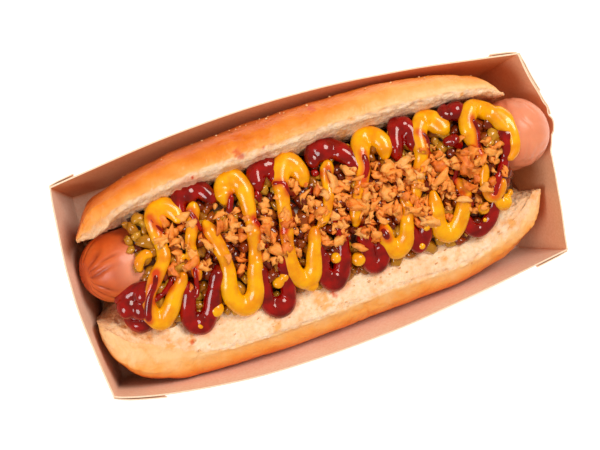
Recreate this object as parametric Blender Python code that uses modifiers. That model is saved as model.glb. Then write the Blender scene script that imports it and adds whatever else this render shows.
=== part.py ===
"""A hot dog in its open card tray: bun, sausage, relish heap with sauce beads and fried onion.

Metres, +Z up. X runs along the tray and Y across it. The origin is the centre of the tray's underside.
"""

import math
import random

import bmesh
import bpy
import numpy as np
from mathutils import Vector

MM = 0.001
GAP = 0.35 * MM  # clear space between the sausage and the bun
TOPPING_GAP = 0.6 * MM  # clear space under the toppings

# Card tray: floor and rim corners in plan, going round from the back left one
CARD = 0.6 * MM
TRAY_HEIGHT = 40 * MM
FLOOR_CORNERS = [(-84, 35.5), (-86, -38.5), (85, -37), (86, 35.5)]
RIM_CORNERS = [(-90, 39.5), (-90, -39), (89.5, -38.5), (92, 39)]
WALLS = {  # rim bulge, place of its peak as a power, steps along the wall
    "left": (3.2, 1.0, 6),
    "front": (10.2, 0.78, 16),
    "right": (3.0, 1.0, 14),
    "back": (8.4, 1.0, 16),
}
WALL_STEPS_UP = 3
TIP_BUMP, TIP_BUMP_AT = 4.1, 0.63  # where the sausage's tip pushes the right wall out
TIP_BUMP_WIDTHS = (0.1, 0.2)  # to its front and to its back
TIP_BUMP_FULL = 0.8  # share of the wall's height from which the bump is whole
RIM_DIP, RIM_DIP_BULGE = 1.2 * MM, 10  # how much lower the rim stands where a wall bulges so far
WEBS = [  # folded corners outside the walls: wall, end at its start, length along the rim
    ("front", True, 18),
    ("front", False, 13),
    ("back", True, 10),
    ("back", False, 9),
    ("right", False, 22),
]
WEB_THICKNESS = 1.2 * MM
WEB_SINK = 0.4 * MM  # how far a web reaches into the wall's card
WEB_STEPS = 5
WEB_RISE = (0.04, 0.98)  # the shares of the wall's height between which a web stands
WEB_LAP = 0.001  # share of the wall by which a web wraps its corner

# Sausage: its axis, its two ends and its girth
SAUSAGE_AXIS = [
    (-87.8, 4.8, 34.0), (-80, 5.0, 30.6), (-70, 5.4, 27.6), (-56, 6.0, 26.3), (-20, 7.5, 26.2),
    (15, 8.3, 26.4), (40, 8.8, 27.2), (56, 9.1, 29.4), (70, 9.6, 33.2), (82, 10.0, 37.6),
    (95.1, 10.2, 41.6),
]
SAUSAGE_RADII = (12.9 * MM, 13.7 * MM)  # left end, right end
SAUSAGE_SIDES = 20
SAUSAGE_DOME_STEPS = 7
SAUSAGE_STRAIGHT_STEPS = 22
SAUSAGE_AXIS_STEP = 5 * MM

# Bun: pairs of points across it at mid length, on the crust and on the cut face,
# from the top of the back half, under the sausage, to the corner of the front half
BUN_PAIRS = [
    ((33.6, 50.9), (30.6, 50.2)), ((38.0, 49.0), (29.0, 47.2)), ((41.4, 43.6), (27.2, 42.6)),
    ((42.4, 36.0), (25.0, 36.8)), ((40.2, 27.0), (22.6, 30.6)), ((37.8, 18.0), (21.4, 24.4)),
    ((35.8, 9.6), (19.0, 18.2)), ((30.0, 3.2), (15.4, 14.4)), ((22.0, 1.0), (11.4, 12.6)),
    ((8.0, 1.0), (7.0, 12.1)), ((-6.0, 1.0), (2.6, 13.2)), ((-18.0, 1.0), (-1.8, 16.4)),
    ((-27.0, 2.2), (-4.8, 21.4)), ((-33.6, 6.0), (-8.0, 27.0)), ((-37.4, 12.4), (-12.4, 30.8)),
    ((-39.8, 19.6), (-18.0, 33.4)), ((-41.8, 28.6), (-25.0, 35.4)), ((-39.4, 33.2), (-30.4, 36.6)),
    ((-35.8, 35.4), (-33.2, 36.8)),
]
BUN_BACK_PAIRS = 8  # the first pairs are the back half, the last ones the front half
BUN_FRONT_PAIRS = 7
BUN_ENDS_BACK = (-86.0, 80.0)
BUN_ENDS_BASE = (-83.8, 83.0)
BUN_ENDS_FRONT = (-87.8, 87.6)
BUN_FULL_LENGTH_HEIGHT = 26.0
BUN_NOSE_BACK, BUN_NOSE_FRONT = (18.0, 24.4), (-12.0, -13.5)  # where each half closes beside the sausage
CRUST_BACK = [
    (-86, 20), (-80, 29), (-70, 33.8), (-50, 38.6), (-20, 41.8), (5, 42.6), (50, 41), (66, 37.6), (76, 32),
    (80, 25),
]
CUT_BACK = [
    (-86, 16.6), (-80, 18), (-70, 23), (-50, 26.6), (-20, 28.6), (5, 30), (58, 29.4), (72, 27.8), (80, 25),
]
CUT_FRONT = [
    (-88.3, -12), (-80, -22), (-70, -27), (-50, -33), (-30, -34), (20, -31), (60, -28), (74, -22),
    (87.6, -12),
]
CRUST_FRONT = [
    (-88.3, -19), (-83, -33.5), (-72, -39.5), (-52, -42.4), (-30, -42.9), (20, -40.8), (60, -37), (76, -31),
    (84, -24), (87.6, -16),
]
BUN_STATIONS = 28
BUN_HEIGHT_POWER = 0.55  # how much sooner than its width the bun reaches its full height
BUN_SHARES = (0.02, 1.1)  # the least and the most of its width at mid length
BUN_TALLEST = 1.02  # the most of its height at mid length
BUN_NOSE_LOW, BUN_NOSE_RISE = 6.0, 0.86  # the height where each end closes, and its rise with the section
BUN_NOSE_CUT_RISE = 0.9  # the same on the cut faces that show
BUN_NOSE_BASE = 0.8  # how far out the base's ends close
BUN_DEEP_PAIRS = (3, len(BUN_PAIRS) - 4)  # between these, the cut face is hidden under the sausage

# Relish heap over the sausage, and how far it covers it
HEAP_ENDS = (-77, 77)
HEAP_SIDES = (-26, 26)
HEAP_RIDGE = 8.0
HEAP_COVER = [(-77, -3), (-68, 1.5), (-50, 3.2), (0, 4.0), (45, 3.4), (68, 1.6), (77, -3)]
HEAP_FOOT = 34.6
HEAP_CORE_DROP = 1.4 * MM  # how far the core lies under the heap's surface
HEAP_BOTTOM = 29 * MM
HEAP_STEPS = (24, 10)  # along it and across it
HEAP_NARROWING, HEAP_NARROWING_POWER = 0.45, 5  # its ends are narrower, and how late that sets in
HEAP_BACK_DROP, HEAP_BACK_REACH = 1.5, 18  # how far it falls over such a reach behind the ridge
HEAP_FRONT_POWER, HEAP_FRONT_SHARE = 1.7, 1.2  # its front slope's curve, and how far it runs on

# Sauce strands in plan, over the heap, and their thickness
MUSTARD_RADIUS = 3.0 * MM
MUSTARD = [
    [
        (-51, 16), (-54, 21.5), (-58, 19.5), (-57.5, 8), (-61, 0), (-67, -9), (-68, -16),
        (-65, -19.5), (-61, -15), (-57, -8), (-53, -2),
    ],
    [(-41, 19), (-45, 11), (-48, 4), (-49, -7), (-52, -17)],
    [
        (-40, 12), (-38, 2), (-37.5, -9), (-37.5, -17), (-33, -22), (-28.5, -17), (-27, -8),
        (-24, 5), (-23, 18), (-27, 24.5), (-31, 20),
    ],
    [
        (1, 13), (-2, 21), (-6, 24.5), (-10, 21), (-11.5, 12), (-13, 0), (-13, -13), (-9.5, -19.5),
        (-5.5, -16), (-3.5, -6), (-2, 4),
    ],
    [(10, 20), (6, 14), (4, 6), (2, -4)],
    [(29, 13), (30, 21), (26, 25.5), (21, 21), (19, 12), (16, 3), (13.5, -6)],
    [(22.5, -2), (22, -14), (25.5, -19.5), (30, -16), (31, -9), (34, 0)],
    [(53, 13), (52, 21), (48, 25), (44, 20), (42, 10), (39, 0)],
    [(45, -5), (44.5, -14), (48, -18.5), (52, -15), (54, -7), (55, 2)],
    [(73, 14), (70.5, 21), (66, 24), (62.5, 20), (63, 12)],
    [(76, 12), (81, 11), (81, 5), (76, 2)],
]
KETCHUP_RADIUS = 2.7 * MM
KETCHUP = [
    [(-48, 14), (-48, 22), (-43, 25.5), (-37.5, 22), (-37, 12)],
    [(-78, -7), (-77, -14), (-73, -19), (-69, -14), (-67, -4)],
    [(-57, -14), (-56, -22), (-51.5, -25.5), (-46, -22), (-45, -12), (-43, -2)],
    [(-19.5, 13), (-19, 22), (-15, 25.5), (-11.5, 22), (-12.5, 14)],
    [(-27, -10), (-26.5, -23), (-22, -28), (-17.5, -23), (-18, -8), (-16, 4)],
    [(2, 14), (2, 22), (7, 26), (13, 23), (15, 14)],
    [(-3, -6), (-4.5, -20), (0, -25.5), (5.5, -20), (6.5, -6), (8, 6)],
    [(13, -10), (13.5, -19), (18, -23), (22, -19), (23, -8)],
    [(34, 14), (34, 22), (38, 26), (43, 22), (44, 12)],
    [(32, -7), (32, -18), (35.5, -22), (39, -18), (40, -6)],
    [(52, 15), (53, 22), (57, 25), (62, 22), (62, 12)],
    [(53, -8), (54.5, -18), (60, -22.5), (65, -19), (65.5, -10), (70, -2), (72, 6), (74, 12)],
]
STRAND_SIDES = 6
STRAND_RISE = 0.35  # how far a bead's middle stands over what it lies on, in radii
STRAND_TIPS = (0.62, 0.9)  # how thick a bead is at its first and second points
STRAND_STEP = 1.5 * MM
STRAND_TURN, STRAND_SPAN = math.radians(33), 10 * MM  # a bead keeps a point at each such turn or length

# Crisp fried onion and relish bits standing out of the heap
ONION_BITS = 52
ONION_SIZES = (2.6, 5.4)
RELISH_BITS = 26
RELISH_SIZES = (3.0, 5.0)
ONION_SPREAD = ((-56, 74), (-13, 16))  # from and to in X and in Y
RELISH_SPREADS = (((-66, 70), (-22, -12)), ((-66, 70), (12, 22)))
BIT_LENGTHS, BIT_WIDTHS, BIT_THICKNESSES = (0.7, 1.15), (0.55, 0.9), (0.5, 0.8)  # shares of a bit's size
BIT_RISE = 1.1
BIT_TILT = 0.6  # the most that a bit leans, in radians
BIT_SEED = 11


def smooth_value(table, x):
    """The value at x of a smooth curve through the (x, value) points of a table."""
    xs, values = np.array(table, float).T
    slopes = np.gradient(values, xs)
    x = min(max(x, xs[0]), xs[-1])
    i = min(int(np.searchsorted(xs, x, side="right")) - 1, len(xs) - 2)
    span = xs[i + 1] - xs[i]
    t = (x - xs[i]) / span
    lead = values[i] * (1 + 2 * t) * (1 - t) ** 2 + slopes[i] * span * t * (1 - t) ** 2
    trail = values[i + 1] * t * t * (3 - 2 * t) - slopes[i + 1] * span * t * t * (1 - t)
    return float(lead + trail)


def smooth_path(points, step):
    """Evenly spaced points of a curve that passes through the given ones."""
    knots = [Vector(p) for p in points]
    knots = [2 * knots[0] - knots[1], *knots, 2 * knots[-1] - knots[-2]]
    path = []
    for a, b, c, d in zip(knots, knots[1:], knots[2:], knots[3:]):
        count = max(1, round((c - b).length / step))
        for i in range(count):
            t = i / count
            path.append(0.5 * (2 * b + (c - a) * t + (2 * a - 5 * b + 4 * c - d) * t**2
                               + (3 * b - 3 * c + d - a) * t**3))
    return [*path, knots[-2]]


def thinned(path, turn, span):
    """The points of a path at which it has bent by turn or run on by span since the last one kept."""
    kept, bent = [path[0]], 0.0
    for before, here, after in zip(path, path[1:], path[2:]):
        bent += (here - before).angle(after - here, 0.0)
        if bent > turn or (here - kept[-1]).length > span:
            kept.append(here)
            bent = 0.0
    return [*kept, path[-1]]


def material(name, colour, roughness):
    """A plain surface of one colour."""
    made = bpy.data.materials.new(name)
    made.use_nodes = True
    surface = made.node_tree.nodes["Principled BSDF"]
    surface.inputs["Base Color"].default_value = (*colour, 1)
    surface.inputs["Roughness"].default_value = roughness
    surface.inputs["Metallic"].default_value = 0
    made.diffuse_color = (*colour, 1)
    return made


def add_object(name, mesh, collection):
    obj = bpy.data.objects.new(name, mesh)
    collection.objects.link(obj)
    return obj


def mesh_from(name, bm):
    bmesh.ops.recalc_face_normals(bm, faces=bm.faces)
    mesh = bpy.data.meshes.new(name)
    bm.to_mesh(mesh)
    bm.free()
    return mesh


def grid_faces(bm, rows, closed):
    """Quads between rows of vertices, going round when the rows are closed."""
    for low, high in zip(rows, rows[1:]):
        count = len(low)
        for i in range(count if closed else count - 1):
            j = (i + 1) % count
            bm.faces.new((low[i], low[j], high[j], high[i]))


def apply_modifiers(obj):
    """The object's mesh as its modifiers leave it."""
    graph = bpy.context.evaluated_depsgraph_get()
    mesh = bpy.data.meshes.new_from_object(obj.evaluated_get(graph))
    obj.modifiers.clear()
    obj.data = mesh


def combine(obj, operation, others):
    """Joins or cuts with the objects of a collection, then removes them."""
    boolean = obj.modifiers.new(operation.title(), "BOOLEAN")
    boolean.operation = operation
    boolean.operand_type = "COLLECTION"
    boolean.collection = others
    boolean.solver = "MANIFOLD"
    apply_modifiers(obj)
    for other in list(others.objects):
        bpy.data.objects.remove(other)


def keep_largest_body(obj):
    """Drops the scraps that a cut leaves beside the main body."""
    bm = bmesh.new()
    bm.from_mesh(obj.data)
    unseen = set(bm.verts)
    bodies = []
    while unseen:
        front = [unseen.pop()]
        body = set(front)
        while front:
            vertex = front.pop()
            for edge in vertex.link_edges:
                other = edge.other_vert(vertex)
                if other not in body:
                    body.add(other)
                    front.append(other)
        unseen -= body
        bodies.append(body)
    largest = max(bodies, key=len)
    bmesh.ops.delete(bm, geom=[v for v in bm.verts if v not in largest], context="VERTS")
    bm.to_mesh(obj.data)
    bm.free()


def tube(name, path, radii, sides, collection):
    """A round closed tube along a path, as a mesh with welded caps."""
    curve = bpy.data.curves.new(name, "CURVE")
    curve.dimensions = "3D"
    curve.bevel_depth = 1.0
    curve.bevel_resolution = sides // 2 - 2
    curve.use_fill_caps = True
    spline = curve.splines.new("POLY")
    spline.points.add(len(path) - 1)
    for point, place, radius in zip(spline.points, path, radii):
        point.co = (*place, 1)
        point.radius = radius
    guide = add_object(name, curve, collection)
    graph = bpy.context.evaluated_depsgraph_get()
    bm = bmesh.new()
    bm.from_mesh(bpy.data.meshes.new_from_object(guide.evaluated_get(graph)))
    bpy.data.objects.remove(guide)
    bmesh.ops.remove_doubles(bm, verts=bm.verts, dist=0.001 * MM)
    return add_object(name, mesh_from(name, bm), collection)


def sausage_centre(x):
    """Height and side place of the sausage's axis at x, in millimetres."""
    side = smooth_value([(p[0], p[1]) for p in SAUSAGE_AXIS], x)
    height = smooth_value([(p[0], p[2]) for p in SAUSAGE_AXIS], x)
    return side, height


def sausage_radius(x):
    """The sausage grows a little from its left end to its right end."""
    start, end = SAUSAGE_AXIS[0][0], SAUSAGE_AXIS[-1][0]
    share = min(max((x - start) / (end - start), 0), 1)
    return SAUSAGE_RADII[0] + (SAUSAGE_RADII[1] - SAUSAGE_RADII[0]) * share


def add_sausage(name, grow, collection):
    """A tube with domed ends along the axis, larger all round by grow."""
    axis = smooth_path([Vector(p) * MM for p in SAUSAGE_AXIS], SAUSAGE_AXIS_STEP)
    lengths = [0.0]
    for a, b in zip(axis, axis[1:]):
        lengths.append(lengths[-1] + (b - a).length)
    total = lengths[-1] + 2 * grow
    spots = []
    for i in range(1, SAUSAGE_DOME_STEPS + 1):
        turn = 0.5 * math.pi * i / SAUSAGE_DOME_STEPS
        spots.append((SAUSAGE_RADII[0] * (1 - math.cos(turn)), math.sin(turn)))
    straight = total - sum(SAUSAGE_RADII)
    for i in range(1, SAUSAGE_STRAIGHT_STEPS):
        spots.append((SAUSAGE_RADII[0] + straight * i / SAUSAGE_STRAIGHT_STEPS, 1.0))
    for i in range(SAUSAGE_DOME_STEPS, 0, -1):
        turn = 0.5 * math.pi * i / SAUSAGE_DOME_STEPS
        spots.append((total - SAUSAGE_RADII[1] * (1 - math.cos(turn)), math.sin(turn)))
    path, radii = [], []
    for along, share in spots:
        place = [float(np.interp(along - grow, lengths, [p[i] for p in axis])) for i in range(3)]
        path.append(place)
        radii.append((sausage_radius(place[0] / MM) + grow) * share)
    return tube(name, path, radii, SAUSAGE_SIDES, collection)


def bun_point(index, side, u):
    """A point of the bun in millimetres: pair index, 0 for crust or 1 for cut face, u from -1 to 1 along."""
    y, z = BUN_PAIRS[index][side]
    middle = [(a + b) / 2 for a, b in zip(*BUN_PAIRS[index])]
    back = index < BUN_BACK_PAIRS
    front = index >= len(BUN_PAIRS) - BUN_FRONT_PAIRS
    ends = BUN_ENDS_BACK if back else BUN_ENDS_FRONT if front else BUN_ENDS_BASE
    rise = min(z / BUN_FULL_LENGTH_HEIGHT, 1)
    ends = [low + (high - low) * rise for low, high in zip(BUN_ENDS_BASE, ends)]
    x = ends[0] + (ends[1] - ends[0]) * (u + 1) / 2
    if front:
        outline, noses = (CUT_FRONT if side else CRUST_FRONT), BUN_NOSE_FRONT
    else:
        outline, noses = (CUT_BACK if side else CRUST_BACK), BUN_NOSE_BACK
    nose = noses[0] + (noses[1] - noses[0]) * (u + 1) / 2
    middle_nose = sum(noses) / 2
    share = (smooth_value(outline, x) - nose) / (smooth_value(outline, 0) - middle_nose)
    share = min(max(share, BUN_SHARES[0]), BUN_SHARES[1])
    if not back and not front:
        nose = middle_nose = middle[0] * BUN_NOSE_BASE
    lift = min(share**BUN_HEIGHT_POWER, BUN_TALLEST)
    nose_height = BUN_NOSE_LOW + (middle[1] - BUN_NOSE_LOW) * BUN_NOSE_RISE
    if side and not BUN_DEEP_PAIRS[0] < index < BUN_DEEP_PAIRS[1]:
        nose_height = z * BUN_NOSE_CUT_RISE
    return (x, nose + (y - middle_nose) * share, nose_height + (z - nose_height) * lift)


def add_bun(name, grow, collection):
    """A loft of U-shaped sections along X, closed at both ends across their pairs."""
    bm = bmesh.new()
    rows = []
    for i in range(BUN_STATIONS):
        u = math.sin(0.5 * math.pi * (2 * i / (BUN_STATIONS - 1) - 1))
        crust = [bun_point(k, 0, u) for k in range(len(BUN_PAIRS))]
        cut = [bun_point(k, 1, u) for k in range(len(BUN_PAIRS))]
        rows.append([bm.verts.new(Vector(p) * MM) for p in [*crust, *reversed(cut)]])
    grid_faces(bm, rows, True)
    for row in (rows[0], rows[-1]):
        for k in range(len(BUN_PAIRS) - 1):
            bm.faces.new((row[k], row[k + 1], row[-2 - k], row[-1 - k]))
    bmesh.ops.recalc_face_normals(bm, faces=bm.faces)
    bm.normal_update()
    if grow:
        for vertex in bm.verts:
            vertex.co += vertex.normal * grow
    return add_object(name, mesh_from(name, bm), collection)


def tray_point(wall, t, up):
    """A point of the tray's outer face in metres: t along the wall, up from 0 at the floor to 1 at the rim."""
    start = list(WALLS).index(wall)
    end = (start + 1) % len(WALLS)
    floor = Vector(FLOOR_CORNERS[start]).lerp(Vector(FLOOR_CORNERS[end]), t)
    run = Vector(RIM_CORNERS[end]) - Vector(RIM_CORNERS[start])
    outward = Vector((run.y, -run.x)).normalized()
    bulge, peak, _ = WALLS[wall]
    arch = math.sin(math.pi * min(max(t, 0), 1) ** peak)
    rim = Vector(RIM_CORNERS[start]).lerp(Vector(RIM_CORNERS[end]), t) + outward * bulge * arch
    plan = floor.lerp(rim, up)
    if wall == "right":
        width = TIP_BUMP_WIDTHS[t > TIP_BUMP_AT]
        dent = TIP_BUMP * math.exp(-(((t - TIP_BUMP_AT) / width) ** 2))
        plan += outward * dent * min(up / TIP_BUMP_FULL, 1)
    plan *= MM
    return Vector((plan.x, plan.y, up * (TRAY_HEIGHT - RIM_DIP * arch * bulge / RIM_DIP_BULGE)))


def add_web(wall, at_start, length, collection):
    """A corner's folded web: a sheet outside the wall, widening from the floor corner to the rim."""
    bm = bmesh.new()
    start = list(WALLS).index(wall)
    run = Vector(RIM_CORNERS[(start + 1) % 4]) - Vector(RIM_CORNERS[start])
    outward = Vector((run.y, -run.x, 0)).normalized()
    reach = length / run.length
    rows = []
    for i in range(WEB_STEPS):
        up = WEB_RISE[0] + (WEB_RISE[1] - WEB_RISE[0]) * i / (WEB_STEPS - 1)
        row = []
        for j in range(WEB_STEPS + 1):
            t = -WEB_LAP + (reach * up + 2 * WEB_LAP) * j / WEB_STEPS
            place = tray_point(wall, t if at_start else 1 - t, up)
            row.append(bm.verts.new(place + outward * (0.5 * WEB_THICKNESS - WEB_SINK)))
        rows.append(row)
    grid_faces(bm, rows, False)
    web = add_object("web", mesh_from("web", bm), collection)
    sheet = web.modifiers.new("Thickness", "SOLIDIFY")
    sheet.thickness = WEB_THICKNESS
    sheet.offset = 0
    apply_modifiers(web)


def add_tray(collection, pieces):
    """Floor and four leaning walls as one sheet of card, with the corner webs fused on."""
    bm = bmesh.new()
    rows = []
    for level in range(WALL_STEPS_UP + 1):
        row = []
        for wall, (_, _, steps) in WALLS.items():
            for i in range(steps):
                row.append(bm.verts.new(tray_point(wall, i / steps, level / WALL_STEPS_UP)))
        rows.append(row)
    grid_faces(bm, rows, True)
    bm.faces.new(rows[0])
    tray = add_object("tray", mesh_from("tray", bm), collection)
    sheet = tray.modifiers.new("Card", "SOLIDIFY")
    sheet.thickness = CARD
    sheet.offset = -1
    sheet.use_even_offset = True
    apply_modifiers(tray)
    for wall, at_start, length in WEBS:
        add_web(wall, at_start, length, pieces)
    combine(tray, "UNION", pieces)
    return tray


def bread_height(y):
    """Height of the cut face at mid length, in millimetres."""
    face = sorted((p[1] for p in BUN_PAIRS[BUN_BACK_PAIRS + 2:]), key=lambda p: p[0])
    return float(np.interp(y, [p[0] for p in face], [p[1] for p in face]))


def heap_height(x, y):
    """Height of the heap's surface over a place in plan, in millimetres."""
    _, axis_height = sausage_centre(x)
    ridge = axis_height + sausage_radius(x) / MM + smooth_value(HEAP_COVER, x)
    if y > HEAP_RIDGE:
        return ridge - HEAP_BACK_DROP * ((y - HEAP_RIDGE) / HEAP_BACK_REACH) ** 2
    fall = min((HEAP_RIDGE - y) / (HEAP_RIDGE - HEAP_SIDES[0]), HEAP_FRONT_SHARE)
    return ridge - (ridge - HEAP_FOOT) * fall**HEAP_FRONT_POWER


def lying_height(x, y):
    """Height of whatever a strand of sauce lies on."""
    height = heap_height(x, y)
    return max(height, bread_height(y)) if y < HEAP_RIDGE else height


def add_heap_core(collection):
    """A long low mound, whose underside reaches into the bread and the sausage before they are cut away."""
    bm = bmesh.new()
    rows = []
    for i in range(HEAP_STEPS[0] + 1):
        x = HEAP_ENDS[0] + (HEAP_ENDS[1] - HEAP_ENDS[0]) * i / HEAP_STEPS[0]
        narrow = 1 - HEAP_NARROWING * abs(x / HEAP_ENDS[1]) ** HEAP_NARROWING_POWER
        crest = []
        for j in range(HEAP_STEPS[1] + 1):
            y = HEAP_SIDES[0] + (HEAP_SIDES[1] - HEAP_SIDES[0]) * j / HEAP_STEPS[1]
            y = HEAP_RIDGE + (y - HEAP_RIDGE) * narrow
            crest.append(Vector((x * MM, y * MM, heap_height(x, y) * MM - HEAP_CORE_DROP)))
        foot = [Vector((p.x, p.y, HEAP_BOTTOM)) for p in (crest[-1], crest[0])]
        rows.append([bm.verts.new(p) for p in [*crest, *foot]])
    grid_faces(bm, rows, True)
    bm.faces.new(rows[0])
    bm.faces.new(rows[-1])
    return add_object("toppings", mesh_from("toppings", bm), collection)


def add_strands(strands, radius, collection):
    """Round beads of sauce that lie along their lines over the heap and the bread."""
    for strand in strands:
        plan = smooth_path([Vector((x, y, 0)) * MM for x, y in strand], STRAND_STEP)
        plan = thinned(plan, STRAND_TURN, STRAND_SPAN)
        path, radii = [], []
        for i, place in enumerate(plan):
            height = lying_height(place.x / MM, place.y / MM) * MM + STRAND_RISE * radius
            path.append((place.x, place.y, height))
            end = min(i, len(plan) - 1 - i)
            radii.append(radius * STRAND_TIPS[end] if end < len(STRAND_TIPS) else radius)
        tube("strand", path, radii, STRAND_SIDES, collection)


def add_bits(count, sizes, spread, rng, collection):
    """Uneven blocks scattered over the heap, each with its corners moved a little."""
    for _ in range(count):
        x = rng.uniform(*spread[0])
        y = rng.uniform(*spread[1])
        size = rng.uniform(*sizes) * MM
        bm = bmesh.new()
        bmesh.ops.create_cube(bm, size=1)
        for vertex in bm.verts:
            vertex.co.x *= size * rng.uniform(*BIT_LENGTHS)
            vertex.co.y *= size * rng.uniform(*BIT_WIDTHS)
            vertex.co.z *= size * rng.uniform(*BIT_THICKNESSES)
        bit = add_object("bit", mesh_from("bit", bm), collection)
        bit.location = (x * MM, y * MM, (heap_height(x, y) + BIT_RISE) * MM)
        bit.rotation_euler = [
            rng.uniform(-BIT_TILT, BIT_TILT), rng.uniform(-BIT_TILT, BIT_TILT), rng.uniform(0, math.pi),
        ]


def add_toppings(collection, pieces, cutters):
    """Relish, sauces and onion as one solid, cut clear of the bread and the sausage."""
    rng = random.Random(BIT_SEED)
    toppings = add_heap_core(collection)
    add_strands(MUSTARD, MUSTARD_RADIUS, pieces)
    add_strands(KETCHUP, KETCHUP_RADIUS, pieces)
    add_bits(ONION_BITS, ONION_SIZES, ONION_SPREAD, rng, pieces)
    for spread in RELISH_SPREADS:
        add_bits(RELISH_BITS // len(RELISH_SPREADS), RELISH_SIZES, spread, rng, pieces)
    combine(toppings, "UNION", pieces)
    add_bun("bun_room", TOPPING_GAP, cutters)
    add_sausage("sausage_room", TOPPING_GAP, cutters)
    combine(toppings, "DIFFERENCE", cutters)
    keep_largest_body(toppings)
    return toppings


def add_collection(name, hidden):
    made = bpy.data.collections.new(name)
    bpy.context.scene.collection.children.link(made)
    made.hide_render = hidden
    return made


def main():
    for old in list(bpy.data.objects):
        bpy.data.objects.remove(old)
    hot_dog = add_collection("hot_dog", False)
    cutters = add_collection("cutters", True)
    pieces = add_collection("pieces", True)

    tray = add_tray(hot_dog, pieces)
    sausage = add_sausage("sausage", 0, hot_dog)
    bun = add_bun("bun", 0, hot_dog)
    add_sausage("sausage_room", GAP, cutters)
    combine(bun, "DIFFERENCE", cutters)
    keep_largest_body(bun)
    toppings = add_toppings(hot_dog, pieces, cutters)

    looks = [
        (tray, "card", (0.72, 0.42, 0.24), 0.8),
        (sausage, "cooked_sausage", (0.78, 0.27, 0.13), 0.35),
        (bun, "soft_bread", (0.86, 0.5, 0.2), 0.6),
        (toppings, "relish_and_sauces", (0.55, 0.2, 0.03), 0.3),
    ]
    for obj, name, colour, roughness in looks:
        obj.data.materials.clear()
        obj.data.materials.append(material(name, colour, roughness))
        obj.data.shade_smooth()
        obj.data.set_sharp_from_angle(angle=math.radians(40))


main()
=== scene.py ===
"""Looks of a hot dog with relish, sauces and fried onion in its open card tray, +Z up.

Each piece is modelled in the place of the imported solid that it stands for. Sizes and places are in
millimetres, which MM turns to Blender's metres.
"""

import math
import random

import bmesh
import bpy
import numpy as np
from mathutils import Matrix, Vector, noise
from mathutils.bvhtree import BVHTree
from mathutils.kdtree import KDTree


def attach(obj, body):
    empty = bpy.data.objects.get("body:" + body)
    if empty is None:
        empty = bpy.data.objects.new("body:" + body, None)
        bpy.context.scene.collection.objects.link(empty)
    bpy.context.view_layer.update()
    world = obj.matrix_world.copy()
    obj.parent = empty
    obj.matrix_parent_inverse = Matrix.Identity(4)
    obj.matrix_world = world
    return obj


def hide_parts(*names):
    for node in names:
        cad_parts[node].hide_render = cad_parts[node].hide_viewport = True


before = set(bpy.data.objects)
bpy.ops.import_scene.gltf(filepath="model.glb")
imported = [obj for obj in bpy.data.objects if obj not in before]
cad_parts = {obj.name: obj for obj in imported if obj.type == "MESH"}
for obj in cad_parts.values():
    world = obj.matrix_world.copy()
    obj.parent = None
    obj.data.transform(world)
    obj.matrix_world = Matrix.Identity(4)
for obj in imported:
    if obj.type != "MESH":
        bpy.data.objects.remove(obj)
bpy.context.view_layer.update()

MM = 0.001

# Camera and light
CAMERA_PLACE = Vector((-80, 20, 480))
CAMERA_AIM = Vector((-4.8, -0.1, 25))
CAMERA_ROLL = math.radians(16.8)  # the tray's length rises to the right in the picture
SENSOR_MM, LENS_MM = 36.0, 72.87
SIGHT_LEVEL = 40.0  # plan points of sauces and bits are read on this level, as the camera sees them
LIGHTS = [  # name, place, width, watts, colour
    ("key", (340, 260, 660), 400, 4.0, "#FFF6EA"),
    ("fill", (-460, -100, 460), 300, 1.6, "#FFFFFF"),
]
LIGHTS_AIM = Vector((0, 0, 30))
SKY_COLOUR, SKY_STRENGTH = "#FFDAC2", 0.38
FLOOR_HALF = 1500  # half the width of the sheet that it stands on

# Card tray: floor and rim corners in plan, going round from the back left one
CARD = 0.6  # thickness
TRAY_HEIGHT = 40
FLOOR_CORNERS = [(-84, 35.5), (-86, -38.5), (85, -37), (86, 35.5)]
RIM_CORNERS = [(-90, 39.5), (-90, -39), (89.5, -38.5), (92, 39)]
WALLS = {  # rim bulge, place of its peak as a power, steps along the wall
    "left": (3.2, 1.0, 40),
    "front": (10.2, 0.78, 90),
    "right": (3.0, 1.0, 60),
    "back": (8.4, 1.0, 90),
}
WALL_STEPS_UP = 22
TIP_BUMP, TIP_BUMP_AT = 4.1, 0.63  # where the sausage's tip pushes the right wall out
TIP_BUMP_WIDTHS = (0.1, 0.2)  # to its front and to its back
TIP_BUMP_FULL = 0.8  # share of the wall's height from which the bump is whole
TIP_CREASE, TIP_CREASE_WIDTH = 0.55, 0.13  # depth of the creases round it, and how far along they reach
RIM_DIP, RIM_DIP_BULGE = 1.2, 10  # how much lower the rim stands where a wall bulges so far
CARD_WAVE = 0.35  # how far the walls are bent by handling
FOLD_ANGLE = math.radians(35)  # edges sharper than this are folds
INWARD = -0.3  # a wall's face looks inwards where its normal is below this on the wall's axis
CARD_WARMTH = [(1, (30, 38), 0.8), (0, (80, 88), 0.6)]  # painted warm shade, for light bounced off the crust, on the inner faces beside it: axis, band, share
WEB_CARD = 0.45  # thickness, pressed thin by the fold
WEB_STEPS, WEB_STEPS_UP = 14, 16
WEB_RISE = (0.03, 0.98)  # the shares of the wall's height between which a web stands
WEB_LEAST = 0.004  # a web's length at its foot, as a share of the wall's
WEB_SPRING = 0.25  # how far its free corner springs out
WEBS = [  # folded corners outside the walls: wall, end at its start, length at the rim, how far out
    ("front", True, 18, 0.55),
    ("front", False, 13, 0.55),
    ("back", True, 10, 0.55),
    ("back", False, 9, 0.55),
    ("right", False, 26, 0.45),
    ("right", False, 16, 1.05),
]

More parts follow.
